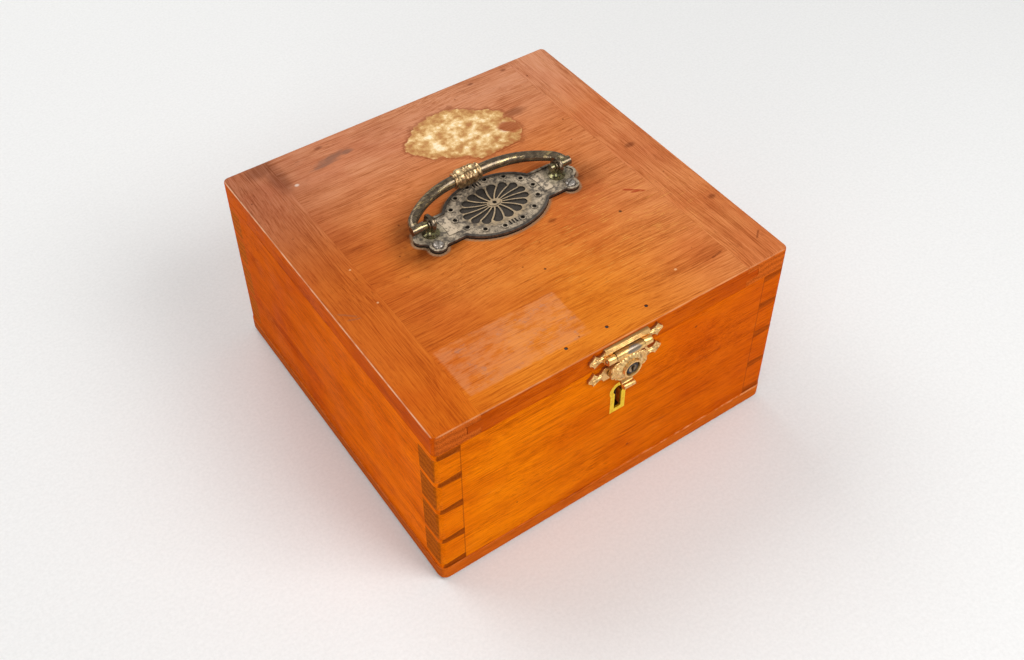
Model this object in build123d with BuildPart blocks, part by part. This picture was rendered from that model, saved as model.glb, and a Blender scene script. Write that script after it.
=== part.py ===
# Coin display box: a dovetailed wooden case with a hinged lid, a brass bail handle,
# a brass hasp lock, an inlaid keyhole plate over a box lock, and four lift-out coin trays.
#
# Origin: centre of the underside.  +Z up, front with the hasp towards -Y, millimetres.

from build123d import *
import os
from math import cos, pi, radians, sin, sqrt

os.makedirs("parts", exist_ok=True)

# Case: overall sizes
box_width = 203.0
box_depth = 203.0
wall_height = 88.5
wall = 13.5
base_thick = 9.5
base_overhang = 0.6
lid_thick = 12.8
lid_gap = 0.2
corner_radius = 3.0
base_corner_radius = 4.5
base_edge_round = 2.5
lid_edge_round = 1.4

wall_top = base_thick + wall_height
lid_bottom = wall_top + lid_gap
lid_top = lid_bottom + lid_thick
front_y = -box_depth / 2
back_y = box_depth / 2
inner_front_y = front_y + wall
inner_width = box_width - 2 * wall
inner_depth = box_depth - 2 * wall

# Dovetails: the pins are hand spaced, so each has its own share of the wall height
pin_shares = (0.24, 0.475, 0.74)
pin_root = 5.0
pin_tip = 3.0
half_pin_root = 4.3
half_pin_tip = 3.4

# Lid: a centre panel tongued into two end cleats
cleat_left = 24.4
cleat_right = 26.0
tongue_length = 7.0
tongue_thick = 5.0
groove_clearance = 0.3

# Back hinges
hinge_centre = 52.0
hinge_length = 38.0
leaf_thick = 1.2
leaf_width = 11.0
knuckle_radius = 2.3
knuckle_stand_off = 0.2
knuckle_gap = 0.2
hinge_pin_radius = 1.2
pin_clearance = 0.05
leaf_screw_spread = 24.0
small_head_radius = 2.3
small_shank_radius = 1.2
small_screw_length = 10.0
leaf_screw_inset = 0.3
hinge_pin_edge = 0.3
hole_clearance = 0.1
slot_length_share = 2.2
slot_width_share = 0.3
slot_depth_share = 0.25

# Base screws
base_head_radius = 4.0
base_shank_radius = 2.0
base_screw_length = 28.0
base_screw_spread = 120.0
base_head_depth = 0.3

# Handle
handle_x = 2.2
handle_y = 4.1
post_spread = 76.0
plate_thick = 1.5
rim_height = 0.7
rim_width = 1.4
oval_half_length = 29.0
oval_half_width = 21.2
oval_forward = 0.7
shoulder_front = 11.7
shoulder_back = 9.0
post_lobe_radius = 9.0
screw_lobe_radius = 4.5
end_lobe_radius = 4.0
end_lobe_past_post = 6.2
end_lobe_forward = 1.3
pivot_height = 8.0
eye_radius = 5.0
eye_thick = 3.8
eye_disc_thick = 2.0
eye_rim_edge = 0.6
eye_collar_radius = 3.2
stem_radius = 2.0
flange_radius = 4.4
flange_height = 1.2
flange_cove = 0.7
rivet_radius = 2.0
rivet_head_radius = 3.2
rivet_head_height = 1.2
trunnion_radius = 1.95
trunnion_length = 6.6
bail_radius = 3.1
bail_end_radius = 2.4
bail_reach = 19.7
bail_gap_right = 0.3
bail_play = 3.6
bail_stub_length = 5.3
bail_set_out = 3.0
bail_stub_radius = 2.45
bail_end_bend = 10.0
bail_straight = 17.0
ferrule_length = 16.0
ferrule_radius = 5.2
ferrule_shift = -2.9
ferrule_collar = 0.9
ferrule_collar_radius = 4.1
ferrule_ridge = 0.8
ferrule_groove = 0.6
screw_past_post = 1.6
screw_front = 9.5
handle_head_radius = 2.8
handle_head_height = 1.8
handle_head_round = 1.2
handle_slot = 0.9
handle_slot_depth = 1.0
handle_slot_turns = (65, 25)
handle_shank_radius = 1.6
handle_screw_length = 11.0

# Rosette in the handle's backplate
rosette_back = 0.7
petal_count = 16
petal_ring = (19.0, 13.0)
petal_twist = -0.16
petal_depth = 0.8
petal_root = (0.22, 0.112)
petal_side = (0.56, 0.158)
petal_end = (0.86, 0.168)
hub_share = 0.17
hub_hole_radius = 1.1
bead_count = 14
bead_ring = (23.5, 17.5)
bead_radius = 1.9
bead_hole_radius = 1.15
bead_height = 0.4
tally_spacing = 1.7
tally_width = 0.9
tally_length = 3.0
tally_share = 0.94
tally_depth = 0.6
panel_place = (28.5, -0.3)
panel_half_width = 3.0
panel_waist = 2.4
panel_half_height = 6.5
panel_height = 0.3

# Hasp latch, heights given above the underside
latch_x = 1.1
plate_half_bar = 12.6
latch_plate_thick = 1.6
latch_axis_drop = 7.0
latch_axis_proud = 2.9
latch_knuckle_radius = 2.3
hasp_knuckle_radius = 2.5
latch_pin_radius = 1.0
hasp_knuckle_half = 7.8
latch_knuckle_gap = 0.3
latch_bar_low = 2.4
latch_bar_height = 3.3
reed_rises = (2.95, 4.1, 5.2)
reed_radius = 0.55
leaf_rise = 1.4
leaf_pin_rise = 0.2
hasp_gap = 0.3
hasp_thick = 2.5
boss_drop = 8.9
catch_below = 4.8
catch_bar_height = 8.4
boss_radius = 5.0
boss_bore_radius = 4.1
boss_height = 3.0
boss_pad_radius = 7.8
boss_pad_top_radius = 5.6
boss_pad_height = 1.5
bore_depth_left = 0.2
web_thick = 1.4
plug_radius = 3.4
plug_stem_radius = 2.0
plug_set_back = 0.5
plug_edge_round = 0.5
plug_play = 0.1
plug_tail = 2.0
plug_key_radius = 1.15
plug_key_rise = 0.9
plug_key_slot = (1.1, 3.0)
plug_key_drop = 0.6
plug_key_depth = 1.4
cam_radius = 5.0
cam_thick = 1.0
cam_half_angle = 80.0
cam_clearance = 0.3
nib_width = 1.3
nib_height = 1.2
nib_drop = 0.3
nib_length = 1.4
nib_set_in = 0.1
lip_width = 6.5
lip_thick = 1.4
lip_start = 16.0
lip_bend_start = 18.6
lip_drop = 21.8
lip_reach = 2.6
lip_roll_radius = 1.4
latch_pin_offset = 16.9
latch_nail_radius = 0.6
latch_nail_head_radius = 1.0
latch_nail_head_height = 0.35
latch_nail_head_edge = 0.25
latch_nail_length = 7.0
catch_nail_length = 4.8

# One wing of a latch plate, as (out from the middle, up from the wing's middle): the corners,
# and between each two of them the point that their arc bows through
wing_corners = ((12.6, 3.4), (17.9, 4.3), (20.8, 1.0), (20.6, -1.0), (18.1, -4.3), (12.6, -3.6))
wing_bows = ((14.7, 1.8), (19.2, 2.3), (21.1, 0.0), (19.0, -2.2), (14.9, -1.9))

# One side of the hasp's leaf below its knuckle, as (out from the middle, down from the axis)
hasp_corners = ((7.8, 2.0), (5.6, 3.7), (9.0, 4.6), (9.5, 8.9), (9.0, 13.4), (6.2, 14.8), (3.25, 17.0))
hasp_bows = ((6.3, 2.6), (7.3, 3.6), (10.5, 6.6), (10.5, 11.3), (7.5, 13.7), (5.4, 16.4))

# Keyhole and its inlaid plate
key_x = -0.2
key_drop = 24.0
escutcheon_radius = 5.2
escutcheon_width = 8.9
escutcheon_drop = 15.3
escutcheon_thick = 1.0
key_radius = 2.9
key_slot = 3.9
key_slot_drop = 12.8
lock_slot_drop = 10.0
key_pin_radius = 1.1
key_clearance = 0.3

# Box lock let into the front board, and its link plate in the lid
lock_x = -2.5
lock_width = 50.0
lock_height = 38.0
lock_depth = 9.0
lock_sheet = 1.2
lock_flange = 4.0
lock_clearance = 0.2
selvedge_width = 11.5
selvedge_thick = 1.4
link_spread = 28.0
link_length = 6.4
link_across = 5.6
link_thick = 3.0
link_eye_width = 2.9
link_eye_height = 2.9
link_slot_clearance = 0.5
link_plate_length = 54.0
link_plate_thick = 1.4
link_pin_radius = 0.8
link_pin_spread = 22.9
link_pin_sunk = 0.3
link_y_offset = 0.1
lock_screw_low = 3.5
lock_screw_high = 5.0
bolt_thick = 2.3
bolt_bar_height = 3.5
bolt_finger = 4.5
bolt_post = 2.5
bolt_short = 0.5
bolt_bar_drop = 0.8
bolt_finger_height = 2.3
bolt_finger_rise = 0.9
talon_radius = 4.0
talon_width = 10.4
talon_bore_radius = 3.2

# Coin trays
lining_thick = 0.8
tray_count = 4
tray_clearance = 1.0
tray_base = 4.0
tray_rail_height = 14.0
tray_rail = 5.0
cells = 4
divider_thick = 1.8
divider_height = 10.0
baize_thick = 1.0
divider_clearance = 0.1
finger_notch_radius = 9.0
finger_notch_depth = 6.0


# Levels and places that follow from the sizes
pin_heights = tuple(wall_top - share * wall_height for share in pin_shares)
hinge_y = back_y + knuckle_stand_off + knuckle_radius
hinge_z = (wall_top + lid_bottom) / 2
leaf_inner_y = back_y - leaf_width
leaf_end = hinge_length / 2
knuckle_third = hinge_length / 6
latch_z = lid_top - latch_axis_drop
latch_y = front_y - latch_axis_proud
latch_leaf_z = latch_z + leaf_rise
latch_nail_z = latch_leaf_z + leaf_pin_rise
boss_z = latch_z - boss_drop
catch_z = wall_top - catch_below
hasp_back = latch_plate_thick + hasp_gap
hasp_front = hasp_back + hasp_thick
bore_floor = hasp_front + bore_depth_left
web_back = bore_floor - web_thick
pivot_z = lid_top + pivot_height
plate_top = lid_top + plate_thick
rosette_y = handle_y + rosette_back
key_z = wall_top - key_drop
link_z = lid_bottom - link_length
lock_back_y = inner_front_y
lock_front_y = inner_front_y - lock_depth
lock_low = wall_top - lock_height
link_y = (lock_front_y + lock_back_y) / 2 + link_y_offset
tray_width = inner_width - 2 * tray_clearance
tray_depth = inner_depth - 2 * tray_clearance
tray_pitch = tray_base + tray_rail_height


def corner_pins(side):
    """Outlines of one corner's dovetail pins seen from the front; side is 1 right, -1 left."""
    root_x = side * (box_width / 2 - wall)
    tip_x = side * box_width / 2
    with BuildSketch(Plane.XZ) as pins:
        for height in pin_heights:
            with BuildLine():
                Polyline(
                    (root_x, height - pin_root / 2),
                    (tip_x, height - pin_tip / 2),
                    (tip_x, height + pin_tip / 2),
                    (root_x, height + pin_root / 2),
                    close=True,
                )
            make_face()
        for edge, inward in ((wall_top, -1), (base_thick, 1)):
            with BuildLine():
                Polyline(
                    (root_x, edge),
                    (tip_x, edge),
                    (tip_x, edge + inward * half_pin_tip),
                    (root_x, edge + inward * half_pin_root),
                    close=True,
                )
            make_face()
    return pins.sketch


def keyhole(drop, clearance):
    """Keyhole outline on the front plane, its slot as deep as drop, grown by a clearance."""
    with BuildSketch(Plane.XZ) as hole:
        with Locations((key_x, key_z)):
            Circle(key_radius + clearance)
        with Locations((key_x, key_z - drop / 2)):
            Rectangle(key_slot + 2 * clearance, drop + 2 * clearance)
    return hole.sketch


def flat_screws(plane, places, head_radius, shank_radius, length):
    """Countersunk slotted screws driven into a plane, their heads flush with it."""
    with BuildPart() as screws:
        with BuildSketch(plane):
            with Locations(*places):
                Circle(head_radius)
        extrude(amount=-(head_radius - shank_radius), taper=45)
        with BuildSketch(plane):
            with Locations(*places):
                Circle(shank_radius)
        extrude(amount=-length)
        with BuildSketch(plane):
            with Locations(*places):
                Rectangle(slot_length_share * head_radius, slot_width_share * head_radius)
        extrude(amount=-slot_depth_share * head_radius, mode=Mode.SUBTRACT)
    return screws.part


def case_envelope():
    """The four walls' outer block with its rounded upright corners."""
    with BuildPart() as block:
        with BuildSketch(Plane.XY.offset(base_thick)):
            RectangleRounded(box_width, box_depth, corner_radius)
        extrude(amount=wall_height)
    return block.part


def lid_envelope():
    """The whole lid's outer block, its corners rounded and its top arris eased."""
    with BuildPart() as block:
        with BuildSketch(Plane.XY.offset(lid_bottom)):
            RectangleRounded(box_width, box_depth, corner_radius)
        extrude(amount=lid_thick)
        fillet(block.faces().sort_by(Axis.Z)[-1].edges(), radius=lid_edge_round)
    return block.part


def wings(middle_z, bar_top, bar_bottom):
    """Both pointed wings of a latch plate, drawn on the front plane from its bar outwards."""
    with BuildSketch(Plane.XZ) as ends:
        for side in (-1, 1):
            corners = [(latch_x + side * out, middle_z + up) for out, up in wing_corners]
            bows = [(latch_x + side * out, middle_z + up) for out, up in wing_bows]
            root_x = latch_x + side * (plate_half_bar - 1)
            with BuildLine():
                for k in range(len(bows)):
                    ThreePointArc(corners[k], bows[k], corners[k + 1])
                Polyline(corners[-1], (root_x, bar_bottom), (root_x, bar_top), corners[0])
            make_face()
    return ends.sketch


# Screw and nail places
base_screw_places = [
    (x, y)
    for x in (-base_screw_spread / 2, base_screw_spread / 2)
    for y in (-(box_depth - wall) / 2, (box_depth - wall) / 2)
] + [
    (x, y)
    for x in (-(box_width - wall) / 2, (box_width - wall) / 2)
    for y in (-base_screw_spread / 2, base_screw_spread / 2)
]
leaf_screw_y = (leaf_inner_y + back_y) / 2 - leaf_screw_inset
hinge_screw_places = [
    (centre + offset, leaf_screw_y)
    for centre in (-hinge_centre, hinge_centre)
    for offset in (-leaf_screw_spread / 2, leaf_screw_spread / 2)
]
handle_screw_places = [
    (handle_x + side * (post_spread / 2 + screw_past_post), handle_y - screw_front)
    for side in (-1, 1)
]
post_places = [(handle_x - post_spread / 2, handle_y), (handle_x + post_spread / 2, handle_y)]
end_lobe_places = [
    (handle_x + side * (post_spread / 2 + end_lobe_past_post), handle_y - end_lobe_forward)
    for side in (-1, 1)
]
latch_nail_x = (latch_x - latch_pin_offset, latch_x + latch_pin_offset)
lock_screw_places = [
    (lock_x + side * (lock_width / 2 + lock_flange / 2), z)
    for side in (-1, 1)
    for z in (lock_low + lock_screw_low, wall_top - selvedge_thick - lock_screw_high)
]
link_pin_places = [(lock_x + step * link_pin_spread, link_y) for step in (-1, 0, 1)]
link_places = [lock_x - link_spread / 2, lock_x + link_spread / 2]
under_plane = Plane(origin=(0, 0, base_head_depth), x_dir=(1, 0, 0), z_dir=(0, 0, -1))
leaf_top_plane = Plane.XY.offset(wall_top)
leaf_under_plane = Plane(origin=(0, 0, lid_bottom), x_dir=(1, 0, 0), z_dir=(0, 0, -1))
lid_hinge_places = [(x, -y) for x, y in hinge_screw_places]
inside_plane = Plane(origin=(0, inner_front_y, 0), x_dir=(-1, 0, 0), z_dir=(0, 1, 0))
inside_screw_places = [(-x, z) for x, z in lock_screw_places]


# Front board: tails at both ends, pocket for the lock, keyhole and catch nails
with BuildPart() as front_board:
    with BuildSketch(Plane.XZ.offset(-inner_front_y)):
        with Locations((0, base_thick + wall_height / 2)):
            Rectangle(box_width, wall_height)
    extrude(amount=wall)
    extrude(corner_pins(1) + corner_pins(-1), amount=box_depth, both=True, mode=Mode.SUBTRACT)
    add(case_envelope(), mode=Mode.INTERSECT)
    # pocket for the lock case, with shallow steps for its cover and its top selvedge
    with BuildSketch(Plane.XZ.offset(-inner_front_y)):
        with Locations((lock_x, (lock_low + wall_top) / 2)):
            Rectangle(lock_width + 2 * lock_clearance, lock_height + 2 * lock_clearance)
    extrude(amount=lock_depth + lock_clearance, mode=Mode.SUBTRACT)
    with BuildSketch(Plane.XZ.offset(-inner_front_y)):
        with Locations((lock_x, (lock_low + wall_top) / 2)):
            Rectangle(
                lock_width + 2 * lock_flange + 2 * lock_clearance,
                lock_height + 2 * lock_clearance,
            )
    extrude(amount=lock_sheet, mode=Mode.SUBTRACT)
    with BuildSketch(Plane.XY.offset(wall_top)):
        with Locations((lock_x, inner_front_y - selvedge_width / 2)):
            Rectangle(
                lock_width + 2 * lock_flange + 2 * lock_clearance,
                selvedge_width + 2 * lock_clearance,
            )
    extrude(amount=-selvedge_thick, mode=Mode.SUBTRACT)
    extrude(keyhole(key_slot_drop, key_clearance), amount=box_depth / 2, mode=Mode.SUBTRACT)
    # seat of the keyhole plate
    with BuildSketch(Plane.XZ.offset(-front_y)):
        with Locations((key_x, key_z)):
            Circle(escutcheon_radius)
        with Locations((key_x, key_z - escutcheon_drop / 2)):
            Rectangle(escutcheon_width, escutcheon_drop)
    extrude(amount=-escutcheon_thick, mode=Mode.SUBTRACT)
    with Locations(Plane.XZ.offset(-front_y)):
        with Locations(*[(x, catch_z) for x in latch_nail_x]):
            Hole(latch_nail_radius + hole_clearance, depth=catch_nail_length)
    with Locations(inside_plane):
        with Locations(*inside_screw_places):
            Hole(small_shank_radius + hole_clearance, depth=small_screw_length + hole_clearance)
    with Locations(under_plane):
        with Locations(*[(x, y) for x, y in base_screw_places if abs(y) > inner_depth / 2]):
            Hole(base_shank_radius + hole_clearance, depth=base_screw_length + hole_clearance)
front_board.part.label = "front_board"
export_step(front_board.part, "parts/front_board.step")

# Back board: tails at both ends and seats for the two hinge leaves
with BuildPart() as back_board:
    with BuildSketch(Plane.XZ.offset(-back_y)):
        with Locations((0, base_thick + wall_height / 2)):
            Rectangle(box_width, wall_height)
    extrude(amount=wall)
    extrude(corner_pins(1) + corner_pins(-1), amount=box_depth, both=True, mode=Mode.SUBTRACT)
    add(case_envelope(), mode=Mode.INTERSECT)
    with BuildSketch(leaf_top_plane):
        with Locations(*[(x, back_y - leaf_width / 2) for x in (-hinge_centre, hinge_centre)]):
            Rectangle(hinge_length, leaf_width)
    extrude(amount=-leaf_thick, mode=Mode.SUBTRACT)
    with Locations(leaf_top_plane):
        with Locations(*hinge_screw_places):
            Hole(small_shank_radius + hole_clearance, depth=small_screw_length + hole_clearance)
    with Locations(under_plane):
        with Locations(*[(x, y) for x, y in base_screw_places if abs(y) > inner_depth / 2]):
            Hole(base_shank_radius + hole_clearance, depth=base_screw_length + hole_clearance)
back_board.part.label = "back_board"
export_step(back_board.part, "parts/back_board.step")

# Side boards: a plank between the front and back, with the pins run out through them
for side, name in ((-1, "left_board"), (1, "right_board")):
    with BuildPart() as side_board:
        with BuildSketch(Plane.XY.offset(base_thick)):
            with Locations((side * (box_width - wall) / 2, 0)):
                Rectangle(wall, inner_depth)
        extrude(amount=wall_height)
        extrude(corner_pins(side), amount=box_depth / 2, both=True)
        add(case_envelope(), mode=Mode.INTERSECT)
        with Locations(under_plane):
            with Locations(*[(x, y) for x, y in base_screw_places if x * side > inner_width / 2]):
                Hole(base_shank_radius + hole_clearance, depth=base_screw_length + hole_clearance)
    side_board.part.label = name
    export_step(side_board.part, f"parts/{name}.step")

# Base board, a little proud of the walls all round, held by screws from below
with BuildPart() as base_board:
    with BuildSketch(Plane.XY):
        RectangleRounded(
            box_width + 2 * base_overhang, box_depth + 2 * base_overhang, base_corner_radius
        )
    extrude(amount=base_thick)
    fillet(base_board.faces().sort_by(Axis.Z)[0].edges(), radius=base_edge_round)
    chamfer(base_board.faces().sort_by(Axis.Z)[-1].edges(), length=base_overhang / 2)
    with Locations(under_plane):
        with Locations(*base_screw_places):
            CounterSinkHole(
                base_shank_radius + hole_clearance,
                base_head_radius + hole_clearance,
                depth=base_thick,
                counter_sink_angle=90,
            )
    with BuildSketch(Plane.XY):
        with Locations(*base_screw_places):
            Circle(base_head_radius + hole_clearance)
    extrude(amount=base_head_depth, mode=Mode.SUBTRACT)
base_board.part.label = "base_board"
export_step(base_board.part, "parts/base_board.step")

base_screws = flat_screws(
    under_plane, base_screw_places, base_head_radius, base_shank_radius, base_screw_length
)
base_screws.label = "base_screws"
export_step(base_screws, "parts/base_screws.step")

# Baize glued to the floor of the case
with BuildPart() as floor_lining:
    with BuildSketch(Plane.XY.offset(base_thick)):
        Rectangle(inner_width - 2 * lock_clearance, inner_depth - 2 * lock_clearance)
    extrude(amount=lining_thick)
floor_lining.part.label = "floor_lining"
export_step(floor_lining.part, "parts/floor_lining.step")

# Lid panel, with a tongue at each end and the seats of the fittings it carries
panel_left = -box_width / 2 + cleat_left
panel_right = box_width / 2 - cleat_right
panel_middle = (panel_left + panel_right) / 2
tongue_z = lid_bottom + (lid_thick - tongue_thick) / 2
with BuildPart() as lid_panel:
    with BuildSketch(Plane.XY.offset(lid_bottom)):
        with Locations((panel_middle, 0)):
            Rectangle(panel_right - panel_left, box_depth)
    extrude(amount=lid_thick)
    with BuildSketch(Plane.XY.offset(tongue_z)):
        with Locations((panel_middle, 0)):
            Rectangle(panel_right - panel_left + 2 * tongue_length, box_depth)
    extrude(amount=tongue_thick)
    add(lid_envelope(), mode=Mode.INTERSECT)
    with BuildSketch(Plane.XY.offset(lid_bottom)):
        with Locations(*[(x, back_y - leaf_width / 2) for x in (-hinge_centre, hinge_centre)]):
            Rectangle(hinge_length, leaf_width)
    extrude(amount=leaf_thick, mode=Mode.SUBTRACT)
    with Locations(leaf_under_plane):
        with Locations(*lid_hinge_places):
            Hole(small_shank_radius + hole_clearance, depth=small_screw_length + hole_clearance)
    # seat of the link plate, and the three pins that run right through the lid
    with BuildSketch(Plane.XY.offset(lid_bottom)):
        with Locations((lock_x, inner_front_y - selvedge_width / 2)):
            Rectangle(link_plate_length, selvedge_width)
    extrude(amount=link_plate_thick, mode=Mode.SUBTRACT)
    with Locations(Plane.XY.offset(lid_top)):
        with Locations(*link_pin_places):
            Hole(link_pin_radius + hole_clearance, depth=lid_thick)
        with Locations(*handle_screw_places):
            Hole(handle_shank_radius + hole_clearance, depth=handle_screw_length)
        with Locations(*post_places):
            Hole(rivet_head_radius + hole_clearance, depth=rivet_head_height + hole_clearance)
    with Locations(Plane.XZ.offset(-front_y)):
        with Locations(*[(x, latch_nail_z) for x in latch_nail_x]):
            Hole(latch_nail_radius + hole_clearance, depth=latch_nail_length)
lid_panel.part.label = "lid_panel"
export_step(lid_panel.part, "parts/lid_panel.step")

# Cleats across the lid's ends, grooved over the panel's tongues
for side, name, width in ((-1, "lid_cleat_left", cleat_left), (1, "lid_cleat_right", cleat_right)):
    joint_x = side * (box_width / 2 - width)
    with BuildPart() as cleat:
        with BuildSketch(Plane.XY.offset(lid_bottom)):
            with Locations((side * (box_width - width) / 2, 0)):
                Rectangle(width, box_depth)
        extrude(amount=lid_thick)
        add(lid_envelope(), mode=Mode.INTERSECT)
        with BuildSketch(Plane.XY.offset(tongue_z)):
            with Locations((joint_x, 0)):
                Rectangle(2 * (tongue_length + groove_clearance), box_depth)
        extrude(amount=tongue_thick, mode=Mode.SUBTRACT)
    cleat.part.label = name
    export_step(cleat.part, f"parts/{name}.step")

# Back hinges: the case leaf has the two outer knuckles, the lid leaf the middle one
for hinge_x, which in ((-hinge_centre, "left"), (hinge_centre, "right")):
    with BuildPart() as case_leaf:
        with BuildSketch(Plane.XY.offset(wall_top - leaf_thick)):
            with Locations((hinge_x, back_y - leaf_width / 2)):
                Rectangle(hinge_length, leaf_width)
            for end in (-1, 1):
                with Locations((hinge_x + end * 2 * knuckle_third, (back_y + hinge_y) / 2)):
                    Rectangle(2 * knuckle_third - knuckle_gap / 2, hinge_y - back_y)
        extrude(amount=leaf_thick)
        for end in (-1, 1):
            middle = hinge_x + end * (2 * knuckle_third + knuckle_gap / 4)
            with BuildSketch(Plane.YZ.offset(middle)):
                with Locations((hinge_y, hinge_z)):
                    Circle(knuckle_radius)
            extrude(amount=knuckle_third - knuckle_gap / 4, both=True)
        with BuildSketch(Plane.YZ.offset(hinge_x)):
            with Locations((hinge_y, hinge_z)):
                Circle(hinge_pin_radius + pin_clearance)
        extrude(amount=hinge_length, both=True, mode=Mode.SUBTRACT)
        with Locations(leaf_top_plane):
            with Locations(*[p for p in hinge_screw_places if p[0] * hinge_x > 0]):
                CounterSinkHole(
                    small_shank_radius + hole_clearance,
                    small_head_radius + hole_clearance,
                    counter_sink_angle=90,
                )
    case_leaf.part.label = f"case_hinge_leaf_{which}"
    export_step(case_leaf.part, f"parts/case_hinge_leaf_{which}.step")

    with BuildPart() as lid_leaf:
        with BuildSketch(Plane.XY.offset(lid_bottom)):
            with Locations((hinge_x, back_y - leaf_width / 2)):
                Rectangle(hinge_length, leaf_width)
            with Locations((hinge_x, (back_y + hinge_y) / 2)):
                Rectangle(2 * knuckle_third - knuckle_gap, hinge_y - back_y)
        extrude(amount=leaf_thick)
        with BuildSketch(Plane.YZ.offset(hinge_x)):
            with Locations((hinge_y, hinge_z)):
                Circle(knuckle_radius)
        extrude(amount=knuckle_third - knuckle_gap / 2, both=True)
        with BuildSketch(Plane.YZ.offset(hinge_x)):
            with Locations((hinge_y, hinge_z)):
                Circle(hinge_pin_radius + pin_clearance)
        extrude(amount=hinge_length, both=True, mode=Mode.SUBTRACT)
        with Locations(leaf_under_plane):
            with Locations(*[p for p in lid_hinge_places if p[0] * hinge_x > 0]):
                CounterSinkHole(
                    small_shank_radius + hole_clearance,
                    small_head_radius + hole_clearance,
                    counter_sink_angle=90,
                )
    lid_leaf.part.label = f"lid_hinge_leaf_{which}"
    export_step(lid_leaf.part, f"parts/lid_hinge_leaf_{which}.step")

    with BuildPart() as hinge_pin:
        with BuildSketch(Plane.YZ.offset(hinge_x)):
            with Locations((hinge_y, hinge_z)):
                Circle(hinge_pin_radius)
        extrude(amount=leaf_end + knuckle_gap, both=True)
        chamfer(hinge_pin.edges().filter_by(GeomType.CIRCLE), length=hinge_pin_edge)
    hinge_pin.part.label = f"hinge_pin_{which}"
    export_step(hinge_pin.part, f"parts/hinge_pin_{which}.step")

case_hinge_screws = flat_screws(
    leaf_top_plane, hinge_screw_places, small_head_radius, small_shank_radius, small_screw_length
)
case_hinge_screws.label = "case_hinge_screws"
export_step(case_hinge_screws, "parts/case_hinge_screws.step")

lid_hinge_screws = flat_screws(
    leaf_under_plane, lid_hinge_places, small_head_radius, small_shank_radius, small_screw_length
)
lid_hinge_screws.label = "lid_hinge_screws"
export_step(lid_hinge_screws, "parts/lid_hinge_screws.step")


def oval_point(ring, share, angle):
    """A point on an oval about the rosette's centre, share of the way out from the middle."""
    return (
        handle_x + ring[0] * share * cos(angle),
        rosette_y + ring[1] * share * sin(angle),
    )


def backplate_outline(inset):
    """The handle plate's silhouette: an oval, straight shoulders and three lobes at each end."""
    with BuildSketch(Plane.XY.offset(lid_top)) as outline:
        with Locations((handle_x, handle_y - oval_forward)):
            Ellipse(oval_half_length - inset, oval_half_width - inset)
        with Locations((handle_x, handle_y + (shoulder_back - shoulder_front) / 2)):
            Rectangle(post_spread, shoulder_back + shoulder_front - 2 * inset)
        with Locations(*post_places):
            Circle(post_lobe_radius - inset)
        with Locations(*handle_screw_places):
            Circle(screw_lobe_radius - inset)
        with Locations(*end_lobe_places):
            Circle(end_lobe_radius - inset)
    return outline.sketch


def petal_point(place, lean, side):
    """A point on one side of a petal, given as (share out, half angle); petals curve outwards."""
    share, half_angle = place
    return oval_point(petal_ring, share, lean + side * half_angle + petal_twist * share**2)


# Handle backplate: raised rim, sunk rosette of curved petals, holed beads and two raised panels
bead_places = [oval_point(bead_ring, 1, 2 * pi * k / bead_count) for k in range(bead_count)]
tally_out = bead_ring[1] * tally_share
with BuildPart() as handle_backplate:
    extrude(backplate_outline(0), amount=plate_thick + rim_height)
    well = backplate_outline(rim_width).moved(Location((0, 0, plate_thick)))
    extrude(well, amount=rim_height, mode=Mode.SUBTRACT)
    # each petal is narrow at the middle, widens outwards and ends round
    with BuildSketch(Plane.XY.offset(plate_top)):
        for k in range(petal_count):
            lean = 2 * pi * (k + 0.5) / petal_count
            left = [petal_point(place, lean, -1) for place in (petal_root, petal_side, petal_end)]
            right = [petal_point(place, lean, 1) for place in (petal_root, petal_side, petal_end)]
            with BuildLine():
                ThreePointArc(*left)
                ThreePointArc(left[-1], oval_point(petal_ring, 1.0, lean + petal_twist), right[-1])
                ThreePointArc(*reversed(right))
                Line(right[0], left[0])
            make_face()
    extrude(amount=-petal_depth, mode=Mode.SUBTRACT)
    # three short tally cuts between the beads, at the back and at the front
    with BuildSketch(Plane.XY.offset(plate_top)):
        with Locations((handle_x, rosette_y + tally_out), (handle_x, rosette_y - tally_out)):
            with GridLocations(tally_spacing, tally_length, 3, 1):
                Rectangle(tally_width, tally_length)
    extrude(amount=-tally_depth, mode=Mode.SUBTRACT)
    with BuildSketch(Plane.XY.offset(plate_top)):
        with Locations(*bead_places):
            Circle(bead_radius)
        with Locations((handle_x, rosette_y)):
            Ellipse(petal_ring[0] * hub_share, petal_ring[1] * hub_share)
    extrude(amount=bead_height)
    with Locations(Plane.XY.offset(plate_top + bead_height)):
        with Locations(*bead_places):
            Hole(bead_hole_radius, depth=bead_height + petal_depth)
        with Locations((handle_x, rosette_y)):
            Hole(hub_hole_radius, depth=bead_height + petal_depth)
    # waisted panels between the oval and the posts
    panel_y = handle_y + panel_place[1]
    panel_low = panel_y - panel_half_height
    panel_high = panel_y + panel_half_height
    with BuildSketch(Plane.XY.offset(plate_top)):
        for side in (-1, 1):
            panel_x = handle_x + side * panel_place[0]
            left = panel_x - panel_half_width
            right = panel_x + panel_half_width
            with BuildLine():
                ThreePointArc((left, panel_low), (panel_x - panel_waist, panel_y), (left, panel_high))
                Line((left, panel_high), (right, panel_high))
                ThreePointArc((right, panel_high), (panel_x + panel_waist, panel_y), (right, panel_low))
                Line((right, panel_low), (left, panel_low))
            make_face()
    extrude(amount=panel_height)
    with Locations(Plane.XY.offset(plate_top)):
        with Locations(*post_places):
            Hole(rivet_radius + pin_clearance, depth=plate_thick)
        with Locations(*handle_screw_places):
            Hole(handle_shank_radius + hole_clearance, depth=plate_thick)
handle_backplate.part.label = "handle_backplate"
export_step(handle_backplate.part, "parts/handle_backplate.step")

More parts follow.
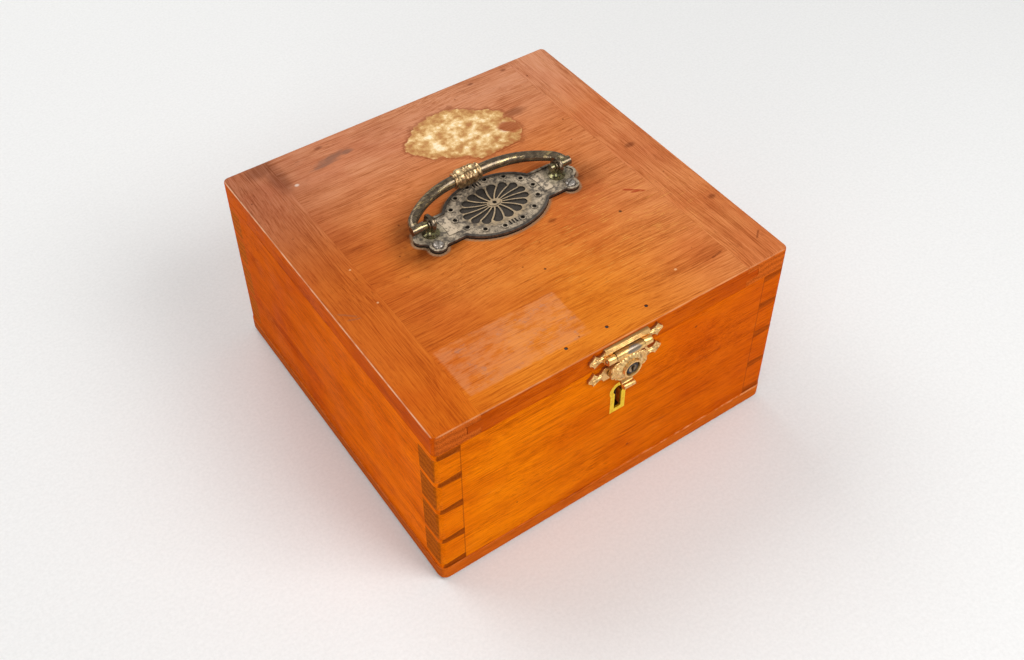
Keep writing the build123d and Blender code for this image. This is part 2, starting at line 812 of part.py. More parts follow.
# Handle posts: a turned foot riveted through the plate, and an eye with a collar on each side
for (post_x, post_y), name in zip(post_places, ("handle_post_left", "handle_post_right")):
    with BuildPart() as post:
        with BuildSketch(Plane.XZ.offset(-post_y)):
            with BuildLine():
                Polyline(
                    (post_x, lid_top - rivet_head_height),
                    (post_x + rivet_head_radius, lid_top - rivet_head_height),
                    (post_x + rivet_head_radius, lid_top),
                    (post_x + rivet_radius, lid_top),
                    (post_x + rivet_radius, plate_top),
                    (post_x + flange_radius, plate_top),
                    (post_x + flange_radius, plate_top + flange_height / 2),
                    (post_x + stem_radius + flange_cove, plate_top + flange_height),
                    (post_x + stem_radius, plate_top + 2 * flange_height),
                    (post_x + stem_radius, pivot_z),
                    (post_x, pivot_z),
                    (post_x, lid_top - rivet_head_height),
                )
            make_face()
        revolve(axis=Axis((post_x, post_y, 0), (0, 0, 1)))
        half_eye = eye_thick / 2
        half_disc = eye_disc_thick / 2
        half_rim = half_disc - eye_rim_edge
        shoulder_y = post_y + eye_radius - eye_rim_edge
        with BuildSketch(Plane.XY.offset(pivot_z)):
            with BuildLine():
                Polyline(
                    (post_x + half_rim, post_y + eye_radius),
                    (post_x + half_disc, shoulder_y),
                    (post_x + half_disc, post_y + eye_collar_radius),
                    (post_x + half_eye, post_y + eye_collar_radius),
                    (post_x + half_eye, post_y),
                    (post_x - half_eye, post_y),
                    (post_x - half_eye, post_y + eye_collar_radius),
                    (post_x - half_disc, post_y + eye_collar_radius),
                    (post_x - half_disc, shoulder_y),
                    (post_x - half_rim, post_y + eye_radius),
                    close=True,
                )
            make_face()
        revolve(axis=Axis((post_x, post_y, pivot_z), (1, 0, 0)))
        with BuildSketch(Plane.YZ.offset(post_x)):
            with Locations((post_y, pivot_z)):
                Circle(trunnion_radius + pin_clearance)
        extrude(amount=eye_thick, both=True, mode=Mode.SUBTRACT)
    post.part.label = name
    export_step(post.part, f"parts/{name}.step")

# Bail: a rod bent to a three-centred arch and thinner towards its ends, with a stub at each end
# that carries a trunnion in through the eye; it sits to the left, with its play on that side
stub_inner = post_spread / 2 + eye_thick / 2 + bail_play / 2
bail_x = handle_x - bail_play / 2 + bail_gap_right
bail_half = stub_inner + bail_set_out
half_straight = bail_straight / 2
bend_x = bail_half - bail_end_bend
arch_radius = ((bend_x - half_straight) ** 2 + bail_reach**2 - bail_end_bend**2) / (
    2 * (bail_reach - bail_end_bend)
)
arch_drop = arch_radius - bail_reach
arch_span = sqrt((bend_x - half_straight) ** 2 + arch_drop**2)
meet_x = bend_x + bail_end_bend * (bend_x - half_straight) / arch_span
meet_y = bail_end_bend * arch_drop / arch_span
with BuildPart() as handle_bail:
    with BuildLine(Plane((bail_x, handle_y, pivot_z))) as bail_path:
        RadiusArc((bail_half, 0), (meet_x, meet_y), -bail_end_bend)
        RadiusArc((meet_x, meet_y), (half_straight, bail_reach), -arch_radius)
        Line((half_straight, bail_reach), (-half_straight, bail_reach))
        RadiusArc((-half_straight, bail_reach), (-meet_x, meet_y), -arch_radius)
        RadiusArc((-meet_x, meet_y), (-bail_half, 0), -bail_end_bend)
    for share, radius in ((0, bail_end_radius), (0.5, bail_radius), (1, bail_end_radius)):
        with BuildSketch(bail_path.wires()[0] ^ share):
            Circle(radius)
    sweep(path=bail_path.wires()[0], multisection=True)
    for side in (-1, 1):
        with BuildSketch(Plane.YZ.offset(bail_x + side * stub_inner)):
            with Locations((handle_y, pivot_z)):
                Circle(bail_stub_radius)
        extrude(amount=side * bail_stub_length)
        with BuildSketch(Plane.YZ.offset(bail_x + side * stub_inner)):
            with Locations((handle_y, pivot_z)):
                Circle(trunnion_radius)
        extrude(amount=-side * trunnion_length)
handle_bail.part.label = "handle_bail"
export_step(handle_bail.part, "parts/handle_bail.step")

# Ferrule: a turned sleeve on the bail, with three bands, two ridges between them and end collars
band = (ferrule_length - 2 * ferrule_collar - 2 * ferrule_ridge) / 3
ferrule_x = bail_x + ferrule_shift
grip_y = handle_y + bail_reach
with BuildPart() as handle_ferrule:
    with BuildSketch(Plane.XY.offset(pivot_z)):
        with BuildLine():
            left = ferrule_x - ferrule_length / 2
            right = ferrule_x + ferrule_length / 2
            low = grip_y + ferrule_radius - ferrule_groove
            Polyline(
                (left + ferrule_collar, low),
                (left + ferrule_collar, grip_y + ferrule_collar_radius),
                (left, grip_y + ferrule_collar_radius),
                (left, grip_y),
                (right, grip_y),
                (right, grip_y + ferrule_collar_radius),
                (right - ferrule_collar, grip_y + ferrule_collar_radius),
                (right - ferrule_collar, low),
            )
            for k in range(3):
                start = left + ferrule_collar + k * (band + ferrule_ridge)
                ThreePointArc(
                    (start, low), (start + band / 2, grip_y + ferrule_radius), (start + band, low)
                )
                if k < 2:
                    Polyline(
                        (start + band, low),
                        (start + band + ferrule_ridge / 2, low + ferrule_ridge / 2),
                        (start + band + ferrule_ridge, low),
                    )
        make_face()
    revolve(axis=Axis((ferrule_x, grip_y, pivot_z), (1, 0, 0)))
    with BuildSketch(Plane.YZ.offset(ferrule_x)):
        with Locations((grip_y, pivot_z)):
            Circle(bail_radius + pin_clearance)
    extrude(amount=ferrule_length, both=True, mode=Mode.SUBTRACT)
handle_ferrule.part.label = "handle_ferrule"
export_step(handle_ferrule.part, "parts/handle_ferrule.step")

# Two slotted round-head screws that hold the backplate
with BuildPart() as handle_screws:
    with BuildSketch(Plane.XY.offset(plate_top)):
        with Locations(*handle_screw_places):
            Circle(handle_head_radius)
    extrude(amount=handle_head_height)
    fillet(handle_screws.edges().group_by(Axis.Z)[-1], radius=handle_head_round)
    with BuildSketch(Plane.XY.offset(plate_top + handle_head_height)):
        for (x, y), turn in zip(handle_screw_places, handle_slot_turns):
            with Locations(Location((x, y), turn)):
                Rectangle(slot_length_share * handle_head_radius, handle_slot)
    extrude(amount=-handle_slot_depth, mode=Mode.SUBTRACT)
    with BuildSketch(Plane.XY.offset(plate_top)):
        with Locations(*handle_screw_places):
            Circle(handle_shank_radius)
    extrude(amount=-handle_screw_length)
handle_screws.part.label = "handle_screws"
export_step(handle_screws.part, "parts/handle_screws.step")

# Latch plate on the lid: a reeded bar with pointed wings and two outer knuckles
knuckle_inner = hasp_knuckle_half + latch_knuckle_gap
bar_low_z = latch_z + latch_bar_low
bar_high_z = bar_low_z + latch_bar_height
with BuildPart() as latch_plate:
    with BuildSketch(Plane.XZ.offset(-front_y)):
        add(wings(latch_leaf_z, bar_high_z, latch_z - latch_knuckle_radius))
        with Locations((latch_x, (bar_low_z + bar_high_z) / 2)):
            Rectangle(2 * plate_half_bar, latch_bar_height)
        for side in (-1, 1):
            with Locations((latch_x + side * (knuckle_inner + plate_half_bar) / 2, latch_z)):
                Rectangle(plate_half_bar - knuckle_inner, 2 * (latch_bar_low + reed_radius))
    extrude(amount=latch_plate_thick)
    for rise in reed_rises:
        with BuildSketch(Plane.YZ.offset(latch_x)):
            with Locations((front_y - latch_plate_thick, latch_z + rise)):
                Circle(reed_radius)
        extrude(amount=plate_half_bar, both=True)
    for side in (-1, 1):
        with BuildSketch(Plane.YZ.offset(latch_x + side * knuckle_inner)):
            with Locations((latch_y, latch_z)):
                Circle(latch_knuckle_radius)
        extrude(amount=side * (plate_half_bar - knuckle_inner))
    with BuildSketch(Plane.YZ.offset(latch_x)):
        with Locations((latch_y, latch_z)):
            Circle(latch_pin_radius + pin_clearance)
    extrude(amount=box_width / 4, both=True, mode=Mode.SUBTRACT)
    with Locations(Plane.XZ.offset(-front_y + latch_plate_thick)):
        with Locations(*[(x, latch_nail_z) for x in latch_nail_x]):
            Hole(latch_nail_radius + pin_clearance, depth=latch_plate_thick)
latch_plate.part.label = "latch_plate"
export_step(latch_plate.part, "parts/latch_plate.step")

# Catch plate on the case front, with the nib that the hasp's cam turns under
nib_x = latch_x + cam_radius - nib_width / 2 - nib_set_in
catch_half = catch_bar_height / 2
with BuildPart() as catch_plate:
    with BuildSketch(Plane.XZ.offset(-front_y)):
        add(wings(catch_z, catch_z + catch_half, catch_z - catch_half))
        with Locations((latch_x, catch_z)):
            Rectangle(2 * plate_half_bar, catch_bar_height)
    extrude(amount=latch_plate_thick)
    with BuildSketch(Plane.XZ.offset(-front_y + latch_plate_thick)):
        with Locations((nib_x, boss_z - nib_drop + nib_height / 2)):
            Rectangle(nib_width, nib_height)
    extrude(amount=nib_length)
    with Locations(Plane.XZ.offset(-front_y + latch_plate_thick)):
        with Locations(*[(x, catch_z) for x in latch_nail_x]):
            Hole(latch_nail_radius + pin_clearance, depth=latch_plate_thick)
catch_plate.part.label = "catch_plate"
export_step(catch_plate.part, "parts/catch_plate.step")

# Small brass nails through the wings of both plates
for name, nail_z, nail_length in (
    ("latch_plate_nails", latch_nail_z, latch_nail_length),
    ("catch_plate_nails", catch_z, catch_nail_length),
):
    with BuildPart() as nails:
        with BuildSketch(Plane.XZ.offset(-front_y + latch_plate_thick)):
            with Locations(*[(x, nail_z) for x in latch_nail_x]):
                Circle(latch_nail_head_radius)
        extrude(amount=latch_nail_head_height)
        chamfer(nails.edges().group_by(Axis.Y)[0], length=latch_nail_head_edge)
        with BuildSketch(Plane.XZ.offset(-front_y + latch_plate_thick)):
            with Locations(*[(x, nail_z) for x in latch_nail_x]):
                Circle(latch_nail_radius)
        extrude(amount=-nail_length)
    nails.part.label = name
    export_step(nails.part, f"parts/{name}.step")

# Hasp: knuckle, neck, scalloped leaf swelling to a hollow boss for the lock plug, rolled finger lip
with BuildPart() as hasp:
    with BuildSketch(Plane.XZ.offset(-front_y + hasp_back)):
        with BuildLine():
            for side in (-1, 1):
                corners = [(latch_x + side * out, latch_z - down) for out, down in hasp_corners]
                bows = [(latch_x + side * out, latch_z - down) for out, down in hasp_bows]
                Polyline((latch_x, latch_z), (corners[0][0], latch_z), corners[0])
                for k in range(len(bows)):
                    ThreePointArc(corners[k], bows[k], corners[k + 1])
                Line(corners[-1], (latch_x, corners[-1][1]))
        make_face()
    extrude(amount=hasp_thick)
    with BuildSketch(Plane.YZ.offset(latch_x)):
        with Locations((latch_y, latch_z)):
            Circle(hasp_knuckle_radius)
    extrude(amount=hasp_knuckle_half, both=True)
    # a cone swells the leaf up to the boss
    with BuildSketch(Plane.XZ.offset(-front_y + hasp_front)):
        with Locations((latch_x, boss_z)):
            Circle(boss_pad_radius)
    with BuildSketch(Plane.XZ.offset(-front_y + hasp_front + boss_pad_height)):
        with Locations((latch_x, boss_z)):
            Circle(boss_pad_top_radius)
    loft()
    with BuildSketch(Plane.XZ.offset(-front_y + hasp_front)):
        with Locations((latch_x, boss_z)):
            Circle(boss_radius)
    extrude(amount=boss_height)
    # finger lip: a strip that bends outwards and ends in a roll
    lip_y = front_y - hasp_back - lip_thick / 2
    roll_y = lip_y - lip_reach
    roll_z = latch_z - lip_drop
    with BuildSketch(Plane.YZ.offset(latch_x)):
        with BuildLine():
            Line((lip_y, latch_z - lip_start), (lip_y, latch_z - lip_bend_start))
            TangentArc((lip_y, latch_z - lip_bend_start), (roll_y, roll_z), tangent=(0, -1))
        trace(line_width=lip_thick)
        with Locations((roll_y, roll_z)):
            Circle(lip_roll_radius)
    extrude(amount=lip_width / 2, both=True)
    # bore of the boss, hole for the plug's stem, and the cam's recess with its way out below
    with BuildSketch(Plane.XZ.offset(-front_y + hasp_front + boss_height)):
        with Locations((latch_x, boss_z)):
            Circle(boss_bore_radius)
    extrude(amount=bore_floor - hasp_front - boss_height, mode=Mode.SUBTRACT)
    with BuildSketch(Plane.XZ.offset(-front_y)):
        with Locations((latch_x, boss_z)):
            Circle(plug_stem_radius + pin_clearance)
    extrude(amount=3 * hasp_front, mode=Mode.SUBTRACT)
    with BuildSketch(Plane.XZ.offset(-front_y + hasp_back)):
        with Locations((latch_x, boss_z)):
            Circle(cam_radius + cam_clearance)
        with Locations((nib_x, boss_z - boss_drop / 2)):
            Rectangle(nib_width + 2 * cam_clearance, boss_drop)
    extrude(amount=web_back - hasp_back, mode=Mode.SUBTRACT)
    with BuildSketch(Plane.YZ.offset(latch_x)):
        with Locations((latch_y, latch_z)):
            Circle(latch_pin_radius + pin_clearance)
    extrude(amount=box_width / 4, both=True, mode=Mode.SUBTRACT)
hasp.part.label = "hasp"
export_step(hasp.part, "parts/hasp.step")

# Pin of the hasp's hinge
with BuildPart() as hasp_pin:
    with BuildSketch(Plane.YZ.offset(latch_x)):
        with Locations((latch_y, latch_z)):
            Circle(latch_pin_radius)
    extrude(amount=plate_half_bar + hinge_pin_edge, both=True)
    chamfer(hasp_pin.edges().filter_by(GeomType.CIRCLE), length=hinge_pin_edge)
hasp_pin.part.label = "hasp_pin"
export_step(hasp_pin.part, "parts/hasp_pin.step")

# Lock plug in the boss: keyed head, stem through the web, square tail for the cam
plug_face = hasp_front + boss_height - plug_set_back
plug_seat = bore_floor + plug_play
cam_front = web_back - plug_play
cam_back = cam_front - cam_thick
with BuildPart() as hasp_plug:
    with BuildSketch(Plane.XZ.offset(-front_y + plug_seat)):
        with Locations((latch_x, boss_z)):
            Circle(plug_radius)
    extrude(amount=plug_face - plug_seat)
    fillet(hasp_plug.edges().group_by(Axis.Y)[0], radius=plug_edge_round)
    with BuildSketch(Plane.XZ.offset(-front_y + cam_front)):
        with Locations((latch_x, boss_z)):
            Circle(plug_stem_radius)
    extrude(amount=plug_seat - cam_front)
    with BuildSketch(Plane.XZ.offset(-front_y + cam_back)):
        with Locations((latch_x, boss_z)):
            Rectangle(plug_tail, plug_tail)
    extrude(amount=cam_thick)
    with BuildSketch(Plane.XZ.offset(-front_y + plug_face)):
        with Locations((latch_x, boss_z + plug_key_rise)):
            Circle(plug_key_radius)
        with Locations((latch_x, boss_z - plug_key_drop)):
            Rectangle(*plug_key_slot)
    extrude(amount=-plug_key_depth, mode=Mode.SUBTRACT)
hasp_plug.part.label = "hasp_plug"
export_step(hasp_plug.part, "parts/hasp_plug.step")

# Cam: a half-moon plate on the plug's tail
with BuildPart() as hasp_cam:
    with BuildSketch(Plane.XZ.offset(-front_y + cam_back)):
        with Locations((latch_x, boss_z)):
            Circle(plug_stem_radius - plug_play)
        with BuildLine():
            top = (
                latch_x - cam_radius * cos(radians(cam_half_angle)),
                boss_z + cam_radius * sin(radians(cam_half_angle)),
            )
            bottom = (top[0], boss_z - cam_radius * sin(radians(cam_half_angle)))
            Line((latch_x, boss_z), top)
            ThreePointArc(top, (latch_x - cam_radius, boss_z), bottom)
            Line(bottom, (latch_x, boss_z))
        make_face()
        with Locations((latch_x, boss_z)):
            Rectangle(plug_tail, plug_tail, mode=Mode.SUBTRACT)
    extrude(amount=cam_thick)
hasp_cam.part.label = "hasp_cam"
export_step(hasp_cam.part, "parts/hasp_cam.step")

# Keyhole plate, let in flush with the front
with BuildPart() as escutcheon:
    with BuildSketch(Plane.XZ.offset(-front_y)):
        with Locations((key_x, key_z)):
            Circle(escutcheon_radius)
        with Locations((key_x, key_z - escutcheon_drop / 2)):
            Rectangle(escutcheon_width, escutcheon_drop)
        add(keyhole(key_slot_drop, 0), mode=Mode.SUBTRACT)
    extrude(amount=-escutcheon_thick)
escutcheon.part.label = "escutcheon"
export_step(escutcheon.part, "parts/escutcheon.step")

# Lock case: a folded steel tray open to the inside, with the selvedge along its top
lock_middle_z = (lock_low + wall_top) / 2
with BuildPart() as lock_case:
    with BuildSketch(Plane.XZ.offset(-inner_front_y + lock_sheet)):
        with Locations((lock_x, lock_middle_z)):
            Rectangle(lock_width, lock_height)
    extrude(amount=lock_depth - lock_sheet)
    with BuildSketch(Plane.XZ.offset(-inner_front_y + lock_sheet)):
        with Locations((lock_x, lock_middle_z)):
            Rectangle(lock_width - 2 * lock_sheet, lock_height - 2 * selvedge_thick)
    extrude(amount=lock_depth - 2 * lock_sheet, mode=Mode.SUBTRACT)
    with BuildSketch(Plane.XY.offset(wall_top)):
        with Locations((lock_x, inner_front_y - selvedge_width / 2)):
            Rectangle(lock_width + 2 * lock_flange, selvedge_width)
    extrude(amount=-selvedge_thick)
    with BuildSketch(Plane.XY.offset(wall_top)):
        with Locations(*[(x, link_y) for x in link_places]):
            Rectangle(
                link_thick + 2 * link_slot_clearance, link_across + 2 * link_slot_clearance
            )
    extrude(amount=-selvedge_thick, mode=Mode.SUBTRACT)
    extrude(keyhole(lock_slot_drop, 0), amount=box_depth / 2, mode=Mode.SUBTRACT)
lock_case.part.label = "lock_case"
export_step(lock_case.part, "parts/lock_case.step")

# Lock cover, flush with the inside of the case, with the pin that the key turns on
with BuildPart() as lock_cover:
    with BuildSketch(Plane.XZ.offset(-inner_front_y)):
        with Locations((lock_x, lock_middle_z - selvedge_thick / 2)):
            Rectangle(lock_width + 2 * lock_flange, lock_height - selvedge_thick)
    extrude(amount=lock_sheet)
    with BuildSketch(Plane.XZ.offset(-inner_front_y + lock_sheet)):
        with Locations((key_x, key_z)):
            Circle(key_pin_radius)
    extrude(amount=lock_depth - lock_sheet)
    with Locations(inside_plane):
        with Locations(*inside_screw_places):
            CounterSinkHole(
                small_shank_radius + hole_clearance,
                small_head_radius + hole_clearance,
                depth=lock_sheet,
                counter_sink_angle=90,
            )
lock_cover.part.label = "lock_cover"
export_step(lock_cover.part, "parts/lock_cover.step")

lock_screws = flat_screws(
    inside_plane, inside_screw_places, small_head_radius, small_shank_radius, small_screw_length
)
lock_screws.label = "lock_screws"
export_step(lock_screws, "parts/lock_screws.step")

# Bolt: a bar with two hooked fingers, and a tail that the key's bit pushes
finger_high = link_z + link_eye_height + bolt_finger_rise
finger_z = finger_high - bolt_finger_height / 2
bar_top = link_z - bolt_bar_drop
with BuildPart() as lock_bolt:
    with BuildSketch(Plane.XZ.offset(-link_y - bolt_thick / 2)):
        bar_left = link_places[0] - link_thick / 2 - bolt_short - bolt_finger - bolt_post
        bar_right = link_places[1] - link_thick / 2 - bolt_short - bolt_finger
        with Locations(((bar_left + bar_right) / 2, bar_top - bolt_bar_height / 2)):
            Rectangle(bar_right - bar_left, bolt_bar_height)
        for x in link_places:
            tip_x = x - link_thick / 2 - bolt_short
            with Locations((tip_x - bolt_finger - bolt_post / 2, (bar_top + finger_high) / 2)):
                Rectangle(bolt_post, finger_high - bar_top)
            with Locations((tip_x - (bolt_finger + bolt_post) / 2, finger_z)):
                Rectangle(bolt_finger + bolt_post, bolt_finger_height)
        tail_low = key_z + key_radius + talon_radius
        with Locations((key_x, (bar_top - bolt_bar_height + tail_low) / 2)):
            Rectangle(talon_width, bar_top - bolt_bar_height - tail_low)
        with Locations((key_x, tail_low)):
            Circle(talon_bore_radius, mode=Mode.SUBTRACT)
    extrude(amount=bolt_thick)
lock_bolt.part.label = "lock_bolt"
export_step(lock_bolt.part, "parts/lock_bolt.step")

# Link plate under the lid, its two eyes dropping through the selvedge for the bolt's fingers
with BuildPart() as link_plate:
    with BuildSketch(Plane.XY.offset(lid_bottom)):
        with Locations((lock_x, inner_front_y - selvedge_width / 2)):
            Rectangle(link_plate_length, selvedge_width)
    extrude(amount=link_plate_thick)
    with BuildSketch(Plane.XY.offset(lid_bottom)):
        with Locations(*[(x, link_y) for x in link_places]):
            Rectangle(link_thick, link_across)
    extrude(amount=-link_length)
    with BuildSketch(Plane.YZ.offset(lock_x)):
        with Locations((link_y, finger_z)):
            Rectangle(link_eye_width, link_eye_height)
    extrude(amount=link_spread, both=True, mode=Mode.SUBTRACT)
    with Locations(Plane.XY.offset(lid_bottom + link_plate_thick)):
        with Locations(*link_pin_places):
            Hole(link_pin_radius + pin_clearance, depth=link_plate_thick)
link_plate.part.label = "link_plate"
export_step(link_plate.part, "parts/link_plate.step")

# Three pins through the lid that hold the link plate, their ends just below the lid's face
with BuildPart() as link_pins:
    with BuildSketch(Plane.XY.offset(lid_bottom)):
        with Locations(*link_pin_places):
            Circle(link_pin_radius)
    extrude(amount=lid_thick - link_pin_sunk)
link_pins.part.label = "link_pins"
export_step(link_pins.part, "parts/link_pins.step")

# Coin trays, stacked on the floor lining: base, baize, rails and halved dividers
cell_inner_width = tray_width - 2 * tray_rail
cell_inner_depth = tray_depth - 2 * tray_rail
cell_x = [cell_inner_width * (k / cells - 0.5) for k in range(1, cells)]
cell_y = [cell_inner_depth * (k / cells - 0.5) for k in range(1, cells)]
for level in range(tray_count):
    tray = f"tray_{level + 1}"
    tray_z = base_thick + lining_thick + level * tray_pitch
    rail_z = tray_z + tray_base
    with BuildPart() as tray_floor:
        with BuildSketch(Plane.XY.offset(tray_z)):
            Rectangle(tray_width, tray_depth)
        extrude(amount=tray_base)
    tray_floor.part.label = f"{tray}_floor"
    export_step(tray_floor.part, f"parts/{tray}_floor.step")

    with BuildPart() as tray_rails:
        with BuildSketch(Plane.XY.offset(rail_z)):
            for end in (-1, 1):
                with Locations((0, end * (tray_depth - tray_rail) / 2)):
                    Rectangle(tray_width, tray_rail)
        extrude(amount=tray_rail_height)
        with BuildSketch(Plane.XY.offset(rail_z)):
            for end in (-1, 1):
                with Locations((end * (tray_width - tray_rail) / 2, 0)):
                    Rectangle(tray_rail, tray_depth - 2 * tray_rail - 2 * divider_clearance)
        extrude(amount=tray_rail_height)
        notch_z = rail_z + tray_rail_height + finger_notch_radius - finger_notch_depth
        with BuildSketch(Plane.YZ):
            with Locations((0, notch_z)):
                Circle(finger_notch_radius)
        extrude(amount=tray_width, both=True, mode=Mode.SUBTRACT)
    tray_rails.part.label = f"{tray}_rails"
    export_step(tray_rails.part, f"parts/{tray}_rails.step")

    with BuildPart() as tray_baize:
        with BuildSketch(Plane.XY.offset(rail_z)):
            Rectangle(
                cell_inner_width - 2 * divider_clearance, cell_inner_depth - 2 * divider_clearance
            )
        extrude(amount=baize_thick)
    tray_baize.part.label = f"{tray}_baize"
    export_step(tray_baize.part, f"parts/{tray}_baize.step")

    divider_z = rail_z + baize_thick
    half_height = divider_height / 2
    slot = divider_thick + 2 * divider_clearance
    with BuildPart() as tray_dividers:
        with BuildSketch(Plane.XY.offset(divider_z)):
            with Locations(*[(0, y) for y in cell_y]):
                Rectangle(cell_inner_width - 2 * divider_clearance, divider_thick)
        extrude(amount=divider_height)
        with BuildSketch(Plane.XY.offset(divider_z + half_height)):
            with Locations(*[(x, y) for x in cell_x for y in cell_y]):
                Rectangle(slot, slot)
        extrude(amount=half_height, mode=Mode.SUBTRACT)
    with BuildPart() as cross_dividers:
        with BuildSketch(Plane.XY.offset(divider_z)):
            with Locations(*[(x, 0) for x in cell_x]):
                Rectangle(divider_thick, cell_inner_depth - 2 * divider_clearance)
        extrude(amount=divider_height)
        with BuildSketch(Plane.XY.offset(divider_z)):
            with Locations(*[(x, y) for x in cell_x for y in cell_y]):
                Rectangle(slot, slot)
        extrude(amount=half_height + divider_clearance, mode=Mode.SUBTRACT)
    dividers = Compound(children=[*tray_dividers.part.solids(), *cross_dividers.part.solids()])
    dividers.label = f"{tray}_dividers"
    export_step(dividers, f"parts/{tray}_dividers.step")
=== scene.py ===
"""Looks of the coin display box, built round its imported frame.

The frame, the meshes and the lamps are in metres. The materials and the relief work in millimetres.
"""

import math

import bpy
import numpy as np
from mathutils import Matrix, Vector


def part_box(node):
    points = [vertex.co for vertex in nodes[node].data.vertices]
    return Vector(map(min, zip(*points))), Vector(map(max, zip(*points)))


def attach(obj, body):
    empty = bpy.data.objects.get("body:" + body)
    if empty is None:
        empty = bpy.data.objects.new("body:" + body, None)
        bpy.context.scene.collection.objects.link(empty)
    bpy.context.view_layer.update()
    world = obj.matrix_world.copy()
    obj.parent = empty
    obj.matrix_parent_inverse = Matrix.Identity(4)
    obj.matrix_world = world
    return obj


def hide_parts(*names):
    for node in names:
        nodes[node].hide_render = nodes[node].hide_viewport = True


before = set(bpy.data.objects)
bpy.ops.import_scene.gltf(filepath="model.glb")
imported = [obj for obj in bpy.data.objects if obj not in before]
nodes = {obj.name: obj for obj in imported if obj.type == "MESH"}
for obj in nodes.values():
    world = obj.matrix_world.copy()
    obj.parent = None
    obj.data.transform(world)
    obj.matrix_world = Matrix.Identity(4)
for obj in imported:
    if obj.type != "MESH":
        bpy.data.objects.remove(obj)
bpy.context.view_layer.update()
MM = 0.001


# Places read from the frame, in millimetres

lid_low, lid_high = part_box("lid_panel")
plate_low, plate_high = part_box("handle_backplate")
LID_TOP = lid_high.z / MM
FRONT = lid_low.y / MM
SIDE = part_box("front_board")[1].x / MM
BASE_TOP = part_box("base_board")[1].z / MM
PLATE_TOP = plate_high.z / MM
HANDLE_X = (plate_low.x + plate_high.x) / 2 / MM
HANDLE_Y = (plate_low.y + plate_high.y) / 2 / MM

# Places on the carried-over pieces, in millimetres

POST_X = 38.0
POST_Y = HANDLE_Y + 0.7
EYE_Z = 119.0
OVAL_HALF = (27.6, 19.9)
LATCH_X, BOSS_Z = 1.1, 95.1
PLATE_FACE = FRONT - 1.6
HASP_FACE = FRONT - 4.4
KEYHOLE_Z = 70.0
SHOULDER = 13.2


